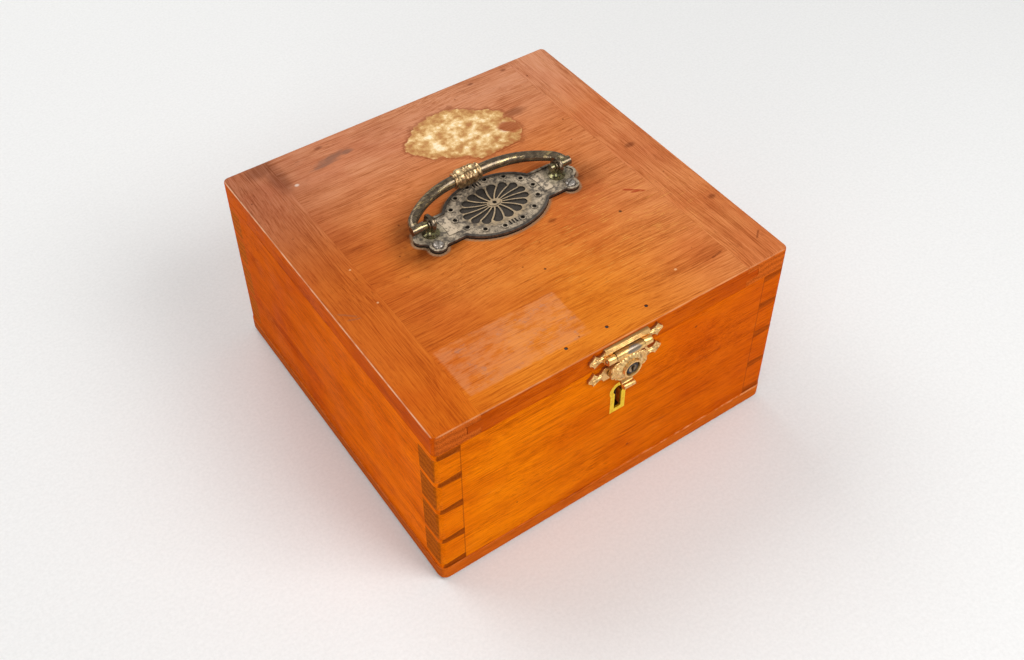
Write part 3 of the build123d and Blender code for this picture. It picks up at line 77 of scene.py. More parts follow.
class Paint:
    """A node material under construction: one short call for each kind of node."""

    SOCKETS = {
        "colour": "Base Color", "rough": "Roughness", "metal": "Metallic", "normal": "Normal",
        "specular": "Specular IOR Level", "sheen": "Sheen Weight", "sheen_rough": "Sheen Roughness",
    }

    def __init__(self, name):
        self.material = bpy.data.materials.new(name)
        self.material.use_nodes = True
        self.tree = self.material.node_tree
        self.tree.nodes.clear()
        output = self.tree.nodes.new("ShaderNodeOutputMaterial")
        self.shader = self.tree.nodes.new("ShaderNodeBsdfPrincipled")
        self.join(self.shader.outputs[0], output.inputs["Surface"])
        where = self.tree.nodes.new("ShaderNodeTexCoord")
        self.place = self.vector("MULTIPLY", where.outputs["Object"], (1000, 1000, 1000))
        self.x, self.y, self.z = self.split(self.place)
        self.right, self.back, self.up = self.split(where.outputs["Normal"])

    def join(self, source, target):
        """Link a socket, or set a plain value."""
        if isinstance(source, bpy.types.NodeSocket):
            self.tree.links.new(source, target)
        elif hasattr(target.default_value, "__len__"):
            target.default_value = list(source) + [1] * (len(target.default_value) - len(source))
        else:
            target.default_value = source

    def split(self, vector):
        node = self.tree.nodes.new("ShaderNodeSeparateXYZ")
        self.join(vector, node.inputs[0])
        return node.outputs[0], node.outputs[1], node.outputs[2]

    def combine(self, x, y, z):
        node = self.tree.nodes.new("ShaderNodeCombineXYZ")
        for source, target in zip((x, y, z), node.inputs):
            self.join(source, target)
        return node.outputs[0]

    def vector(self, operation, a, b):
        node = self.tree.nodes.new("ShaderNodeVectorMath")
        node.operation = operation
        self.join(a, node.inputs[0])
        self.join(b, node.inputs[1])
        return node.outputs["Value"] if operation in ("LENGTH", "DISTANCE") else node.outputs[0]

    def moved(self, vector, offset):
        return self.vector("ADD", vector, offset)

    def reach(self, u, v):
        """Length of a flat vector."""
        return self.vector("LENGTH", self.combine(u, v, 0.0), (0, 0, 0))

    def math(self, operation, a, b=0.0, c=0.0):
        node = self.tree.nodes.new("ShaderNodeMath")
        node.operation = operation
        for source, target in zip((a, b, c), node.inputs):
            self.join(source, target)
        return node.outputs[0]

    def times(self, first, *others):
        for other in others:
            first = self.math("MULTIPLY", first, other)
        return first

    def minus(self, a, b):
        return self.math("SUBTRACT", a, b)

    def times_plus(self, a, factor, extra):
        return self.math("MULTIPLY_ADD", a, factor, extra)

    def size(self, a):
        return self.math("ABSOLUTE", a)

    def step(self, value, low, high, to_low=0.0, to_high=1.0):
        """Smooth step of a value between two edges; the edges may come in either order."""
        node = self.tree.nodes.new("ShaderNodeMapRange")
        node.interpolation_type = "SMOOTHSTEP"
        if low > high:
            low, high, to_low, to_high = high, low, to_high, to_low
        for source, target in zip((value, low, high, to_low, to_high), node.inputs):
            self.join(source, target)
        return node.outputs[0]

    def noise(self, vector, scale, detail, rough, bend=0.0):
        """Even noise at one scale, or noise stretched by three scales along x, y and z."""
        if isinstance(scale, tuple):
            vector, scale = self.vector("MULTIPLY", vector, scale), 1.0
        node = self.tree.nodes.new("ShaderNodeTexNoise")
        self.join(vector, node.inputs["Vector"])
        node.inputs["Scale"].default_value = scale
        node.inputs["Detail"].default_value = detail
        node.inputs["Roughness"].default_value = rough
        node.inputs["Distortion"].default_value = bend
        return node.outputs[0]

    def cells(self, vector, scale):
        """Distance to the nearest of scattered points."""
        node = self.tree.nodes.new("ShaderNodeTexVoronoi")
        self.join(vector, node.inputs["Vector"])
        node.inputs["Scale"].default_value = scale
        return node.outputs["Distance"]

    def ramp(self, value, *stops):
        """Colour of a value from stops of a place and its colour."""
        node = self.tree.nodes.new("ShaderNodeValToRGB")
        ramp = node.color_ramp
        ramp.elements[0].position, ramp.elements[-1].position = stops[0][0], stops[-1][0]
        for place, _ in stops[1:-1]:
            ramp.elements.new(place)
        for element, (_, colour) in zip(ramp.elements, stops):
            element.color = (*colour, 1)
        self.join(value, node.inputs[0])
        return node.outputs[0]

    def mix(self, share, a, b, blend="MIX"):
        node = self.tree.nodes.new("ShaderNodeMix")
        node.data_type = "RGBA"
        node.blend_type = blend
        self.join(share, node.inputs[0])
        self.join(a, node.inputs[6])
        self.join(b, node.inputs[7])
        return node.outputs[2]

    def tinted(self, share, colour, tint):
        """A colour multiplied by a tint, by a share."""
        return self.mix(share, colour, self.mix(1.0, colour, tint, "MULTIPLY"))

    def blend(self, share, a, b):
        node = self.tree.nodes.new("ShaderNodeMix")
        node.data_type = "FLOAT"
        self.join(share, node.inputs[0])
        self.join(a, node.inputs[2])
        self.join(b, node.inputs[3])
        return node.outputs[0]

    def bump(self, height, depth, strength):
        node = self.tree.nodes.new("ShaderNodeBump")
        node.inputs["Strength"].default_value = strength
        node.inputs["Distance"].default_value = depth * MM
        self.join(height, node.inputs["Height"])
        return node.outputs[0]

    def finish(self, **sockets):
        for key, source in sockets.items():
            self.join(source, self.shader.inputs[self.SOCKETS[key]])
        return self.material


# Shares of areas on a face seen from above

def spot(p, x, y, rx, ry, edge=0.25, wobble=0.0, scale=0.2, degrees=0.0):
    """Share of a blurred oval with an uneven outline."""
    turn = math.radians(degrees)
    du = p.minus(p.x, x)
    dv = p.minus(p.y, y)
    u = p.times_plus(du, math.cos(turn) / rx, p.times(dv, math.sin(turn) / rx))
    v = p.times_plus(dv, math.cos(turn) / ry, p.times(du, -math.sin(turn) / ry))
    reach = p.reach(u, v)
    if wobble:
        ripple = p.noise(p.moved(p.place, (x, y, 0)), scale, 4.0, 0.65)
        reach = p.times_plus(ripple, wobble, p.minus(reach, wobble / 2))
    return p.step(reach, 1 + edge, 1 - edge)


def oblong(p, low, high, edge, wobble=0.0):
    """Share of a blurred rectangle between two corners."""
    x, y = p.x, p.y
    if wobble:
        ripple = p.minus(p.noise(p.place, 0.25, 3.0, 0.6), 0.5)
        x = p.times_plus(ripple, wobble, x)
        y = p.times_plus(ripple, wobble, y)
    return p.times(
        p.step(x, low[0] - edge, low[0] + edge), p.step(x, high[0] + edge, high[0] - edge),
        p.step(y, low[1] - edge, low[1] + edge), p.step(y, high[1] + edge, high[1] - edge))


def plot(p, corners, wobble, scale):
    """Depth in millimetres inside an uneven area whose corners go round clockwise."""
    ripple = p.minus(p.noise(p.place, scale, 5.0, 0.65), 0.5)
    inside = None
    for (x, y), (next_x, next_y) in zip(corners, corners[1:] + corners[:1]):
        run, rise = next_x - x, next_y - y
        length = math.hypot(run, rise)
        depth = p.times(p.minus(p.x, x), rise / length)
        depth = p.times_plus(p.minus(p.y, y), -run / length, depth)
        inside = depth if inside is None else p.math("SMOOTH_MIN", inside, depth, 3.0)
    return p.times_plus(ripple, wobble, inside)


def stroke(p, x, y, length, degrees, width, wobble=0.6):
    """Share of a thin line that starts at a point and runs at an angle."""
    turn = math.radians(degrees)
    u = p.minus(p.x, x)
    v = p.minus(p.y, y)
    along = p.times_plus(u, math.cos(turn), p.times(v, math.sin(turn)))
    across = p.times_plus(v, math.cos(turn), p.times(u, -math.sin(turn)))
    ripple = p.minus(p.noise(p.place, 0.35, 2.0, 0.5), 0.5)
    across = p.size(p.times_plus(ripple, wobble, across))
    share = p.times(p.step(along, -width, width), p.step(along, length + width, length - width))
    return p.times(share, p.step(across, width, width * 0.3))


def most(p, *shares):
    """The largest of several shares."""
    total = shares[0]
    for share in shares[1:]:
        total = p.math("MAXIMUM", total, share)
    return total


# Wood

SIDE_SHINE = 0.006
GRAIN = (
    (0.38, (0.60, 0.47, 0.37)), (0.455, (0.87, 0.80, 0.73)), (0.50, (1.0, 1.0, 1.0)),
    (0.59, (1.12, 1.24, 1.4)))
END_GRAIN = ((0.20, (0.42, 0.36, 0.30)), (0.38, (1.0, 1.0, 1.0)), (0.58, (1.5, 1.6, 1.7)))


def wood(name, grain, seed, base, end_base, marks=None, gloss=0.42, pore=0.5, turn=None, shine=0.02):
    """Solid wood: fibre streaks and pores along the grain, ring lines and specks on its end."""
    p = Paint(name)
    if turn:
        # the grain turns where a strip does
        share = turn(p)
        along = p.blend(share, p.x, p.y)
        across = p.blend(share, p.y, p.x)
        end_face = p.blend(share, p.size(p.right), p.size(p.back))
    elif grain == "x":
        along, across, end_face = p.x, p.y, p.size(p.right)
    else:
        along, across, end_face = p.y, p.x, p.size(p.back)
    end = p.step(end_face, 0.72, 0.9)
    offset = (seed * 31.7, seed * 17.3, seed * 11.1)
    solid = p.moved(p.combine(along, across, p.z), offset)
    drift = p.noise(solid, (0.007, 0.02, 0.02), 2.0, 0.5)
    u, v, w = p.split(solid)
    solid = p.combine(u, p.times_plus(drift, 16.0, v), p.times_plus(drift, 9.0, w))
    broad = p.noise(solid, (0.008, 0.10, 0.10), 2.0, 0.5)
    streak = p.noise(solid, (0.030, 1.45, 1.45), 3.0, 0.6)
    fibre = p.noise(solid, (0.085, 3.9, 3.9), 2.0, 0.6)
    tone = p.times_plus(broad, 0.22, p.times_plus(streak, 0.38, p.times(fibre, 0.40)))
    plain = base(p) if callable(base) else base
    colour = p.mix(1.0, plain, p.ramp(tone, *GRAIN), "MULTIPLY")
    # pores: short dark dashes along the grain, thick in some places and thin in others
    pores = p.noise(solid, (0.20, 4.2, 4.2), 1.0, 0.5)
    crowd = p.noise(solid, (0.03, 0.09, 0.09), 2.0, 0.5)
    dash = p.times(p.step(pores, 0.64, 0.72), p.step(crowd, 0.36, 0.60, 0.25, 1.0))
    colour = p.tinted(p.times(dash, pore), colour, (0.30, 0.20, 0.14))
    # clouds where the old finish has darkened and reddened
    cloud = p.noise(p.moved(p.place, offset), 0.022, 3.0, 0.55)
    colour = p.tinted(p.step(cloud, 0.46, 0.70, 0.0, 0.60), colour, (0.86, 0.66, 0.60))
    mist = p.noise(solid, (0.05, 0.12, 0.12), 5.0, 0.68)
    colour = p.tinted(p.step(mist, 0.48, 0.66, 0.0, 0.5), colour, (0.80, 0.68, 0.62))
    # end grain: fine specks between ring lines
    speck = p.noise(p.moved(p.place, offset), 2.2, 3.0, 0.65)
    ring = p.math("SINE", p.times_plus(broad, 9.0, p.times(w, 1.6)))
    end_tone = p.times_plus(speck, 0.75, p.times(ring, 0.05))
    colour = p.mix(end, colour, p.mix(1.0, end_base, p.ramp(end_tone, *END_GRAIN), "MULTIPLY"))
    smear = p.noise(p.moved(p.place, offset), 0.05, 4.0, 0.6)
    rough = p.step(smear, 0.3, 0.7, gloss - 0.07, gloss + 0.10)
    rough = p.blend(end, rough, gloss + 0.14)
    height = p.math("ADD", p.times(fibre, 0.35), p.times(dash, -0.9))
    if marks:
        colour, rough, height = marks(p, colour, rough, height)
    # upright faces mirror the pale floor at a grazing angle, so they keep less of the shine
    specular = p.step(p.up, 0.4, 0.8, min(shine, SIDE_SHINE), shine)
    return p.finish(colour=colour, rough=rough, normal=p.bump(height, 0.04, 0.5), specular=specular)


def lid_base(p):
    """The lid's colour: a pinkish haze at the back of the top, painted sheen over a duller finish there,
    clear orange at the front, and side faces coloured by the way they face, as painted light.
    """
    top = p.step(p.up, 0.4, 0.8)
    # painted sheen: towards the back, and half as much towards the right, the top is paled to a pinkish haze
    # that stands for the soft reflection of the light behind, over a finish that is duller there
    haze = most(p, p.step(p.y, -5.0, 94.0), p.step(p.x, 0.0, 95.0, 0.0, 0.50))
    front = p.step(p.times_plus(p.x, -0.25, p.y), -20.0, -84.0)
    colour = p.mix(front, (0.60, 0.165, 0.026), (0.66, 0.180, 0.014))
    colour = p.mix(haze, colour, (0.57, 0.232, 0.115))
    dim = p.mix(p.step(p.y, -60.0, 60.0), (0.90, 0.70, 0.40), (0.72, 0.60, 0.56))
    colour = p.tinted(p.step(p.x, -40.0, -96.0), colour, dim)
    # painted light: the side faces darken towards both ends, and those that look left get a lighter copy of
    # the orange
    side = p.mix(p.step(p.x, -98.0, -50.0), (0.40, 0.058, 0.002), (0.56, 0.098, 0.002))
    side = p.mix(p.step(p.x, 20.0, 95.0), side, (0.47, 0.070, 0.002))
    side = p.mix(p.step(p.right, -0.4, -0.8), side, (0.62, 0.100, 0.001))
    return p.mix(top, side, colour)


class Surface:
    """Colour, roughness and height of a face that looks up, while marks are laid on it."""

    def __init__(self, p, colour, rough, height):
        self.p, self.colour, self.rough, self.height = p, colour, rough, height
        self.top = p.step(p.up, 0.5, 0.8)

    def cover(self, share, shade, strength):
        share = self.p.times(share, strength, self.top)
        self.colour = self.p.mix(share, self.colour, shade)
        return share

    def darken(self, share, tint, strength):
        self.colour = self.p.tinted(self.p.times(share, strength, self.top), self.colour, tint)

    def dent(self, share, depth):
        self.height = self.p.minus(self.height, self.p.times(share, depth))


def handle_shadow_and_dust(p, lid):
    """Painted shadow round the handle in mottled patches, strongest at its two ends, and dry dust along the
    plate's outline.
    """
    # painted shadow: the lid is darkened in mottled patches round the handle's two ends and behind it,
    # standing for the shade the handle casts
    fog = p.step(p.noise(p.place, 0.09, 4.0, 0.6), 0.3, 0.65, 0.45, 1.0)
    left_end = spot(p, HANDLE_X - 42, HANDLE_Y - 2, 17, 15, 0.6, 0.5, 0.1)
    right_end = spot(p, HANDLE_X + 43, HANDLE_Y - 1, 15, 13, 0.6, 0.5, 0.1)
    behind = spot(p, HANDLE_X - 8, HANDLE_Y + 18, 34, 12, 0.7, 0.5, 0.1)
    lid.darken(p.times(left_end, fog), (0.26, 0.20, 0.18), 1.0)
    lid.darken(p.times(right_end, fog), (0.34, 0.28, 0.26), 0.85)
    lid.darken(p.times(behind, fog), (0.55, 0.48, 0.44), 0.55)
    outline = [spot(p, HANDLE_X, HANDLE_Y, 30.2, 22.4, 0.035, 0.04, 0.3)]
    for side in (-1, 1):
        x = HANDLE_X + side * POST_X
        outline.append(spot(p, x, POST_Y, 10.2, 10.2, 0.08, 0.10, 0.3))
        outline.append(spot(p, x + side * 6.2, POST_Y - 1.3, 5.2, 5.2, 0.12, 0.14, 0.3))
        outline.append(spot(p, x + side * 1.6, POST_Y - 9.5, 5.8, 5.8, 0.12, 0.14, 0.3))
    corner, far_corner = (HANDLE_X - POST_X, POST_Y - 11.4), (HANDLE_X + POST_X, POST_Y + 10.2)
    outline.append(oblong(p, corner, far_corner, 0.4))
    dust = p.step(p.noise(p.place, 0.9, 3.0, 0.7), 0.3, 0.6, 0.35, 1.0)
    lid.cover(p.times(most(p, *outline), dust), (0.40, 0.27, 0.16), 0.8)


def bare_patch(p, lid):
    """Pale patch of worn-through wood, gold at its rim and cream in mottled islands."""
    corners = [(-15, 66), (2, 83), (22, 86.5), (49, 67), (51, 47), (44, 38), (20, 37.5), (-5, 53)]
    depth = plot(p, corners, 13.0, 0.11)
    bite = spot(p, 44, 52, 6.5, 4.5, 0.25, 0.8, 0.2, -40)
    patch = p.times(p.step(depth, 0.2, 1.6), p.minus(1.0, bite))
    rim = p.step(depth, -2.2, 0.4)
    mottle = p.noise(p.moved(p.place, (5, 9, 0)), 0.17, 6.0, 0.66)
    mottle = p.times_plus(p.step(depth, 0.5, 9.0), 0.09, mottle)
    cream = p.ramp(
        mottle, (0.42, (0.40, 0.175, 0.055)), (0.55, (0.60, 0.33, 0.120)), (0.65, (0.83, 0.57, 0.27)),
        (0.75, (0.96, 0.82, 0.57)))
    lid.darken(p.times(rim, p.minus(1.0, patch)), (0.55, 0.42, 0.36), 0.7)
    thin = p.times(patch, p.step(mottle, 0.38, 0.56, 0.70, 1.0))
    lid.colour = p.mix(p.times(thin, lid.top), lid.colour, cream)
    lid.rough = p.blend(p.times(patch, lid.top), lid.rough, 0.75)
    lid.dent(patch, 1.6)


def hazy_oblong(p, lid):
    """Dull oblong near the front, torn through to the clear finish in places."""
    haze = oblong(p, (-75.5, -91.0), (-10.0, -60.5), 0.8, 2.4)
    torn = p.noise(p.vector("MULTIPLY", p.place, (0.7, 1.4, 1)), 0.13, 5.0, 0.7)
    left_over = p.times(haze, p.step(torn, 0.36, 0.58, 0.12, 1.0))
    share = lid.cover(left_over, (0.74, 0.33, 0.15), 0.30)
    lid.rough = p.blend(share, lid.rough, 0.85)
    grey = p.step(p.noise(p.moved(p.place, (40, 0, 0)), 0.16, 4.0, 0.7), 0.56, 0.70)
    lid.cover(p.times(haze, grey), (0.36, 0.20, 0.15), 0.38)


def stains_and_knocks(p, lid):
    """Stains and rubs at the back, then dents, holes, scratches and light flecks."""
    stain = most(p, spot(p, -82, 96, 8, 6, 0.5, 0.8, 0.2), spot(p, -78, 84, 5, 11, 0.6, 0.9, 0.15))
    lid.darken(stain, (0.42, 0.34, 0.32), 0.65)
    rubs = most(
        p, spot(p, -47, 84, 9, 2.2, 0.6, 1.3, 0.28, 10), spot(p, -52, 81, 7, 1.4, 0.6, 1.2, 0.3, 4),
        spot(p, -38, 84, 3.4, 1.6, 0.5, 0.9, 0.4))
    lid.cover(rubs, (0.17, 0.095, 0.07), 0.62)
    lid.cover(spot(p, -72, 75, 1.1, 0.9, 0.5), (0.72, 0.58, 0.48), 0.75)
    holes = most(p, spot(p, 50.7, -35, 0.8, 0.8, 0.5), spot(p, -3.6, -46.4, 0.6, 0.6, 0.5))
    lid.cover(holes, (0.05, 0.02, 0.012), 0.85)
    back_specks = most(
        p, spot(p, -49, 95, 2.2, 1.1, 0.6, 0.8), spot(p, 47.6, 95.6, 1.6, 0.9, 0.6, 0.8),
        spot(p, 70, 96, 1.6, 0.9, 0.6, 0.8))
    lid.darken(back_specks, (0.35, 0.25, 0.22), 0.7)
    lid.dent(holes, 4.0)
    blots = most(
        p, spot(p, 54, 61, 5.5, 3.0, 0.6, 0.8), spot(p, 95.4, -52.4, 2.2, 1.6, 0.6, 0.6),
        spot(p, 87, 3, 3.0, 1.7, 0.5, 0.7), spot(p, 19, -21, 2.2, 1.2, 0.6, 0.8),
        stroke(p, 66, -86, 7, 8, 0.8), stroke(p, 93, -88, 6, 40, 0.7))
    lid.darken(blots, (0.30, 0.20, 0.17), 0.6)
    gouge = most(p, stroke(p, 62, -23, 11, -38, 1.0), stroke(p, 64, -27, 7, -20, 0.8))
    lid.cover(gouge, (0.36, 0.045, 0.012), 0.85)
    lid.dent(gouge, 2.5)
    scratches = most(p, stroke(p, -99, -16, 9, -42, 0.8), stroke(p, -97, -22, 6, -20, 0.7))
    lid.cover(scratches, (0.24, 0.10, 0.05), 0.40)
    lights = most(
        p, spot(p, -80, 6, 0.55, 0.5, 0.5), spot(p, -80, -20, 0.55, 0.5, 0.5),
        spot(p, 46.7, -82, 0.7, 0.6, 0.5))
    lid.cover(lights, (0.84, 0.50, 0.25), 0.6)
    flecks = p.step(p.noise(p.place, (0.11, 1.9, 1.0), 2.0, 0.5), 0.60, 0.68)
    lid.cover(p.times(spot(p, 36, -42, 48, 30, 0.7, 0.4, 0.05), flecks), (0.88, 0.46, 0.10), 0.42)
    # tiny knocks scattered over the whole top
    peppered = p.cells(p.moved(p.place, (3, 7, 0)), 0.075)
    lid.darken(p.step(peppered, 0.055, 0.025), (0.28, 0.18, 0.14), 0.7)


def painted_arris_highlights(p, lid):
    """Painted highlights: light lines along the lid's front and left arrises, where the edges catch the
    light, broken up by noise.
    """
    high = p.step(p.z, LID_TOP - 1.1, LID_TOP - 0.5)
    front = p.step(p.y, FRONT + 0.75, FRONT + 0.35)
    left = p.step(p.x, -SIDE + 0.75, -SIDE + 0.35)
    highlight_breakup = p.step(p.noise(p.place, 0.12, 4.0, 0.6), 0.36, 0.62, 0.35, 0.85)
    share = p.times(high, most(p, front, left), highlight_breakup)
    # painted highlight colour, lighter on the left arris than on the front one
    arris_highlight_colour = p.mix(left, (0.80, 0.38, 0.17), (0.92, 0.60, 0.38))
    lid.colour = p.mix(p.times(share, p.blend(left, 0.62, 0.85)), lid.colour, arris_highlight_colour)
    lid.rough = p.blend(share, lid.rough, 0.6)


def lid_marks(p, colour, rough, height):
    """Wear, stains, painted shadow round the handle and painted highlights on the arrises of the lid's top,
    each mark where the photograph has it.
    """
    lid = Surface(p, colour, rough, height)
    for lay in (handle_shadow_and_dust, bare_patch, hazy_oblong, stains_and_knocks, painted_arris_highlights):
        lay(p, lid)
    return lid.colour, lid.rough, lid.height


def case_marks(p, colour, rough, height):
    """Dents, light scratches, and painted shade darkening the walls towards their foot."""
    # painted shade: the walls are darkened towards the bottom, over the 9 mm above the base
    foot = p.times(p.step(p.z, BASE_TOP + 9.0, BASE_TOP + 1.0), 0.35)
    colour = p.tinted(foot, colour, (0.72, 0.62, 0.55))
    dents = p.step(p.cells(p.place, 0.05), 0.05, 0.025)
    colour = p.mix(p.times(dents, 0.7), colour, (0.16, 0.03, 0.008))
    scratch = p.noise(p.place, (0.05, 0.05, 1.6), 2.0, 0.5)
    colour = p.mix(p.step(scratch, 0.715, 0.74, 0.0, 0.35), colour, (0.84, 0.36, 0.08))
    return colour, rough, p.minus(height, p.times(dents, 2.5))


def base_marks(p, colour, rough, height):
    """A painted highlight along the upper edge, where its ledge catches the light, and a darker bottom edge.
    """
    # painted highlight: the base's top millimetre is lightened, more towards the right, broken up by noise
    rub = p.times(p.step(p.z, BASE_TOP - 1.0, BASE_TOP - 0.4), p.step(p.x, -10.0, 60.0, 0.10, 0.75))
    highlight_breakup = p.step(p.noise(p.place, 0.2, 4.0, 0.7), 0.40, 0.60)
    colour = p.mix(p.times(rub, highlight_breakup, 0.6), colour, (0.86, 0.44, 0.20))
    # darker towards the bottom edge, almost black in the lowest 2 mm
    colour = p.mix(p.step(p.z, 2.2, 0.4, 0.0, 0.6), colour, (0.10, 0.035, 0.015))
    return colour, rough, height


def left_base(p):
    """The left side's orange, brightest near the front: painted light, lighter where the light falls most on
    it.
    """
    return p.mix(p.step(p.y, 70.0, -95.0), (0.64, 0.105, 0.001), (0.80, 0.150, 0.001))


def front_base(p):
    """The front's orange, deeper to the right, with the scribed shoulder line of its tails."""
    colour = p.mix(p.step(p.x, -90.0, 90.0), (0.76, 0.178, 0.001), (0.60, 0.100, 0.001))
    from_line = p.size(p.minus(p.size(p.x), SIDE - SHOULDER))
    colour = p.mix(p.step(from_line, 0.42, 0.15, 0.0, 0.55), colour, (0.24, 0.04, 0.006))
    # painted shade: the faces of the cut for the keyhole are painted near black, standing for the shade
    # inside it
    inside = p.times(
        p.step(p.y, FRONT + 0.3, FRONT + 0.8), p.step(p.size(p.x), 6.0, 5.0),
        p.step(p.size(p.minus(p.z, KEYHOLE_Z)), 12.0, 11.0))
    return p.mix(inside, colour, (0.035, 0.014, 0.007))


def dress(name, material):
    nodes[name].material_slots[0].material = material


def lid_wood(name, grain, seed, end_base):
    return wood(name, grain, seed, lid_base, end_base, lid_marks, pore=0.6, shine=0.03)


def dress_woods():
    back, right, base = (0.66, 0.125, 0.002), (0.62, 0.112, 0.001), (0.56, 0.110, 0.007)
    dress("front_board", wood("front_wood", "x", 1, front_base, (0.40, 0.084, 0.003), case_marks, pore=0.6))
    dress("back_board", wood("back_wood", "x", 2, back, (0.50, 0.105, 0.006), case_marks))
    dress("left_board", wood("left_wood", "y", 3, left_base, (0.28, 0.052, 0.003), case_marks, shine=0.004))
    dress("right_board", wood("right_wood", "y", 4, right, (0.36, 0.060, 0.003), case_marks))
    dress("base_board", wood("base_wood", "x", 5, base, (0.46, 0.090, 0.010), base_marks))
    dress("lid_panel", lid_wood("panel_wood", "x", 7, (0.40, 0.080, 0.010)))
    dress("lid_cleat_left", lid_wood("left_cleat_wood", "y", 8, (0.47, 0.090, 0.009)))
    dress("lid_cleat_right", lid_wood("right_cleat_wood", "y", 9, (0.52, 0.100, 0.009)))


# Trays and baize

TRAY_LEVELS = (1, 2, 3, 4)


def runs_back(p):
    """One on the strips that run from front to back, whose long faces look sideways."""
    return p.step(p.minus(p.size(p.right), p.size(p.back)), -0.1, 0.1)


def felt(name, seed):
    """Short green wool baize: a matted nap with lighter fibres and a little fading."""
    p = Paint(name)
    place = p.moved(p.place, (seed * 13.0, seed * 7.0, 0))
    nap = p.noise(place, 2.6, 4.0, 0.7)
    lint = p.noise(place, (0.7, 3.4, 1.0), 2.0, 0.6, 1.2)
    fade = p.noise(place, 0.03, 3.0, 0.6)
    colour = p.ramp(
        nap, (0.3, (0.008, 0.060, 0.030)), (0.5, (0.014, 0.105, 0.052)), (0.7, (0.030, 0.165, 0.085)))
    colour = p.mix(p.step(lint, 0.62, 0.74, 0.0, 0.35), colour, (0.10, 0.26, 0.16))
    colour = p.mix(p.step(fade, 0.4, 0.7, 0.0, 0.3), colour, (0.05, 0.15, 0.07))
    normal = p.bump(p.math("ADD", nap, p.times(lint, 0.5)), 0.35, 0.8)
    return p.finish(colour=colour, rough=0.95, normal=normal, specular=0.1, sheen=0.35, sheen_rough=0.5)


def dress_trays():
    tray, tray_end = (0.33, 0.105, 0.032), (0.20, 0.06, 0.02)
    for level in TRAY_LEVELS:
        for part, turn in (("floor", None), ("rails", runs_back), ("dividers", runs_back)):
            name = f"tray_{level}_{part}"
            dress(name, wood(name + "_wood", "x", 10 + level, tray, tray_end, gloss=0.5, pore=0.4, turn=turn))
        dress(f"tray_{level}_baize", felt(f"tray_{level}_felt", level))
    dress("floor_lining", felt("floor_felt", 0))


# Metals

def plate_metal():
    """Blackened bronze: black in the recesses, dark patina deepened by painted shade, dry tan dust on the
    field, rubbed rims, green at the posts.
    """
    p = Paint("antique_plate")
    field = PLATE_TOP - 0.7
    dull = p.noise(p.place, 0.9, 4.0, 0.7)
    fine = p.noise(p.place, 3.4, 3.0, 0.6)
    colour = p.ramp(dull, (0.35, (0.090, 0.072, 0.056)), (0.6, (0.200, 0.160, 0.122)))
    u = p.minus(p.x, HANDLE_X)
    v = p.minus(p.y, HANDLE_Y)
    # one on the oval's outline, nought at its middle
    ring = p.reach(p.math("DIVIDE", u, OVAL_HALF[0]), p.math("DIVIDE", v, OVAL_HALF[1]))
    # dust lies on the flat field, thick on the end panels and round the beads, thin near the oval's rim
    flat = p.step(p.up, 0.75, 0.95)
    at_field = p.step(p.z, field - 0.25, field - 0.05)
    thick = p.step(p.noise(p.moved(p.place, (8, 2, 0)), 0.45, 4.0, 0.65), 0.30, 0.62, 0.35, 1.0)
    beads = p.times(p.step(ring, 0.66, 0.80), p.step(ring, 1.02, 0.93))
    dust = p.times(most(p, beads, p.step(ring, 1.04, 1.15), 0.6), at_field, flat, thick)
    tan = p.ramp(
        fine, (0.3, (0.30, 0.230, 0.160)), (0.55, (0.54, 0.430, 0.300)), (0.75, (0.78, 0.640, 0.460)))
    colour = p.mix(dust, colour, tan)
    # the two panels beside the oval carry the palest dust
    panel = p.times(
        p.step(p.z, field + 0.22, field + 0.29), p.step(p.z, field + 0.34, field + 0.31), flat,
        p.step(p.size(u), 25.3, 25.6))
    colour = p.mix(p.times(panel, p.step(fine, 0.25, 0.5, 0.6, 1.0)), colour, (0.60, 0.475, 0.335))
    # ridges between the petals show through as thin tan lines; their hollows are painted near black, dark
    # patina deepened by painted shade
    hollow = p.times(p.step(p.z, field - 0.15, field - 0.35), p.step(ring, 0.86, 0.80))
    black = p.ramp(fine, (0.35, (0.038, 0.032, 0.028)), (0.7, (0.130, 0.108, 0.088)))
    colour = p.mix(p.times(hollow, 0.92), colour, black)
    crest = p.times(p.step(ring, 0.78, 0.60), at_field, flat, p.step(dull, 0.40, 0.60, 0.35, 0.95))
    colour = p.mix(crest, colour, (0.52, 0.375, 0.215))
    # rims rubbed to dark bronze
    rim = p.times(p.step(p.z, field + 0.35, field + 0.6), p.step(ring, 1.25, 1.0))
    colour = p.mix(p.times(rim, 0.85), colour, (0.050, 0.042, 0.037))
    # the beads' holes are painted near black inside, dark patina deepened by painted shade
    pit = p.times(p.step(p.z, field - 0.2, field - 0.6), p.step(ring, 0.84, 0.88))
    colour = p.mix(p.times(pit, 0.9), colour, (0.012, 0.010, 0.009))
    by_posts = [spot(p, HANDLE_X + side * POST_X, POST_Y, 6.5, 6.0, 0.35, 0.7, 0.4) for side in (-1, 1)]
    green = p.times(most(p, *by_posts), 0.5, p.step(fine, 0.35, 0.6))
    colour = p.mix(green, colour, (0.24, 0.225, 0.105))
    metal = p.minus(0.75, p.times(most(p, dust, panel), 0.75))
    rough = p.times_plus(most(p, dust, panel, hollow), 0.32, 0.48)
    grime = p.step(p.noise(p.moved(p.place, (31, 5, 0)), 0.35, 5.0, 0.7), 0.47, 0.60)
    colour = p.mix(p.times(grime, p.step(ring, 0.50, 0.72), 0.8), colour, (0.060, 0.050, 0.042))
    height = p.math("ADD", dull, p.times(fine, 0.6))
    return p.finish(colour=colour, metal=metal, rough=rough, normal=p.bump(height, 0.14, 0.7), specular=0.3)


OLD_BRONZE = ((0.095, 0.070, 0.048), (0.150, 0.112, 0.074), (0.230, 0.172, 0.105))
BROWN_BRONZE = ((0.130, 0.072, 0.032), (0.330, 0.210, 0.105), (0.700, 0.510, 0.270))


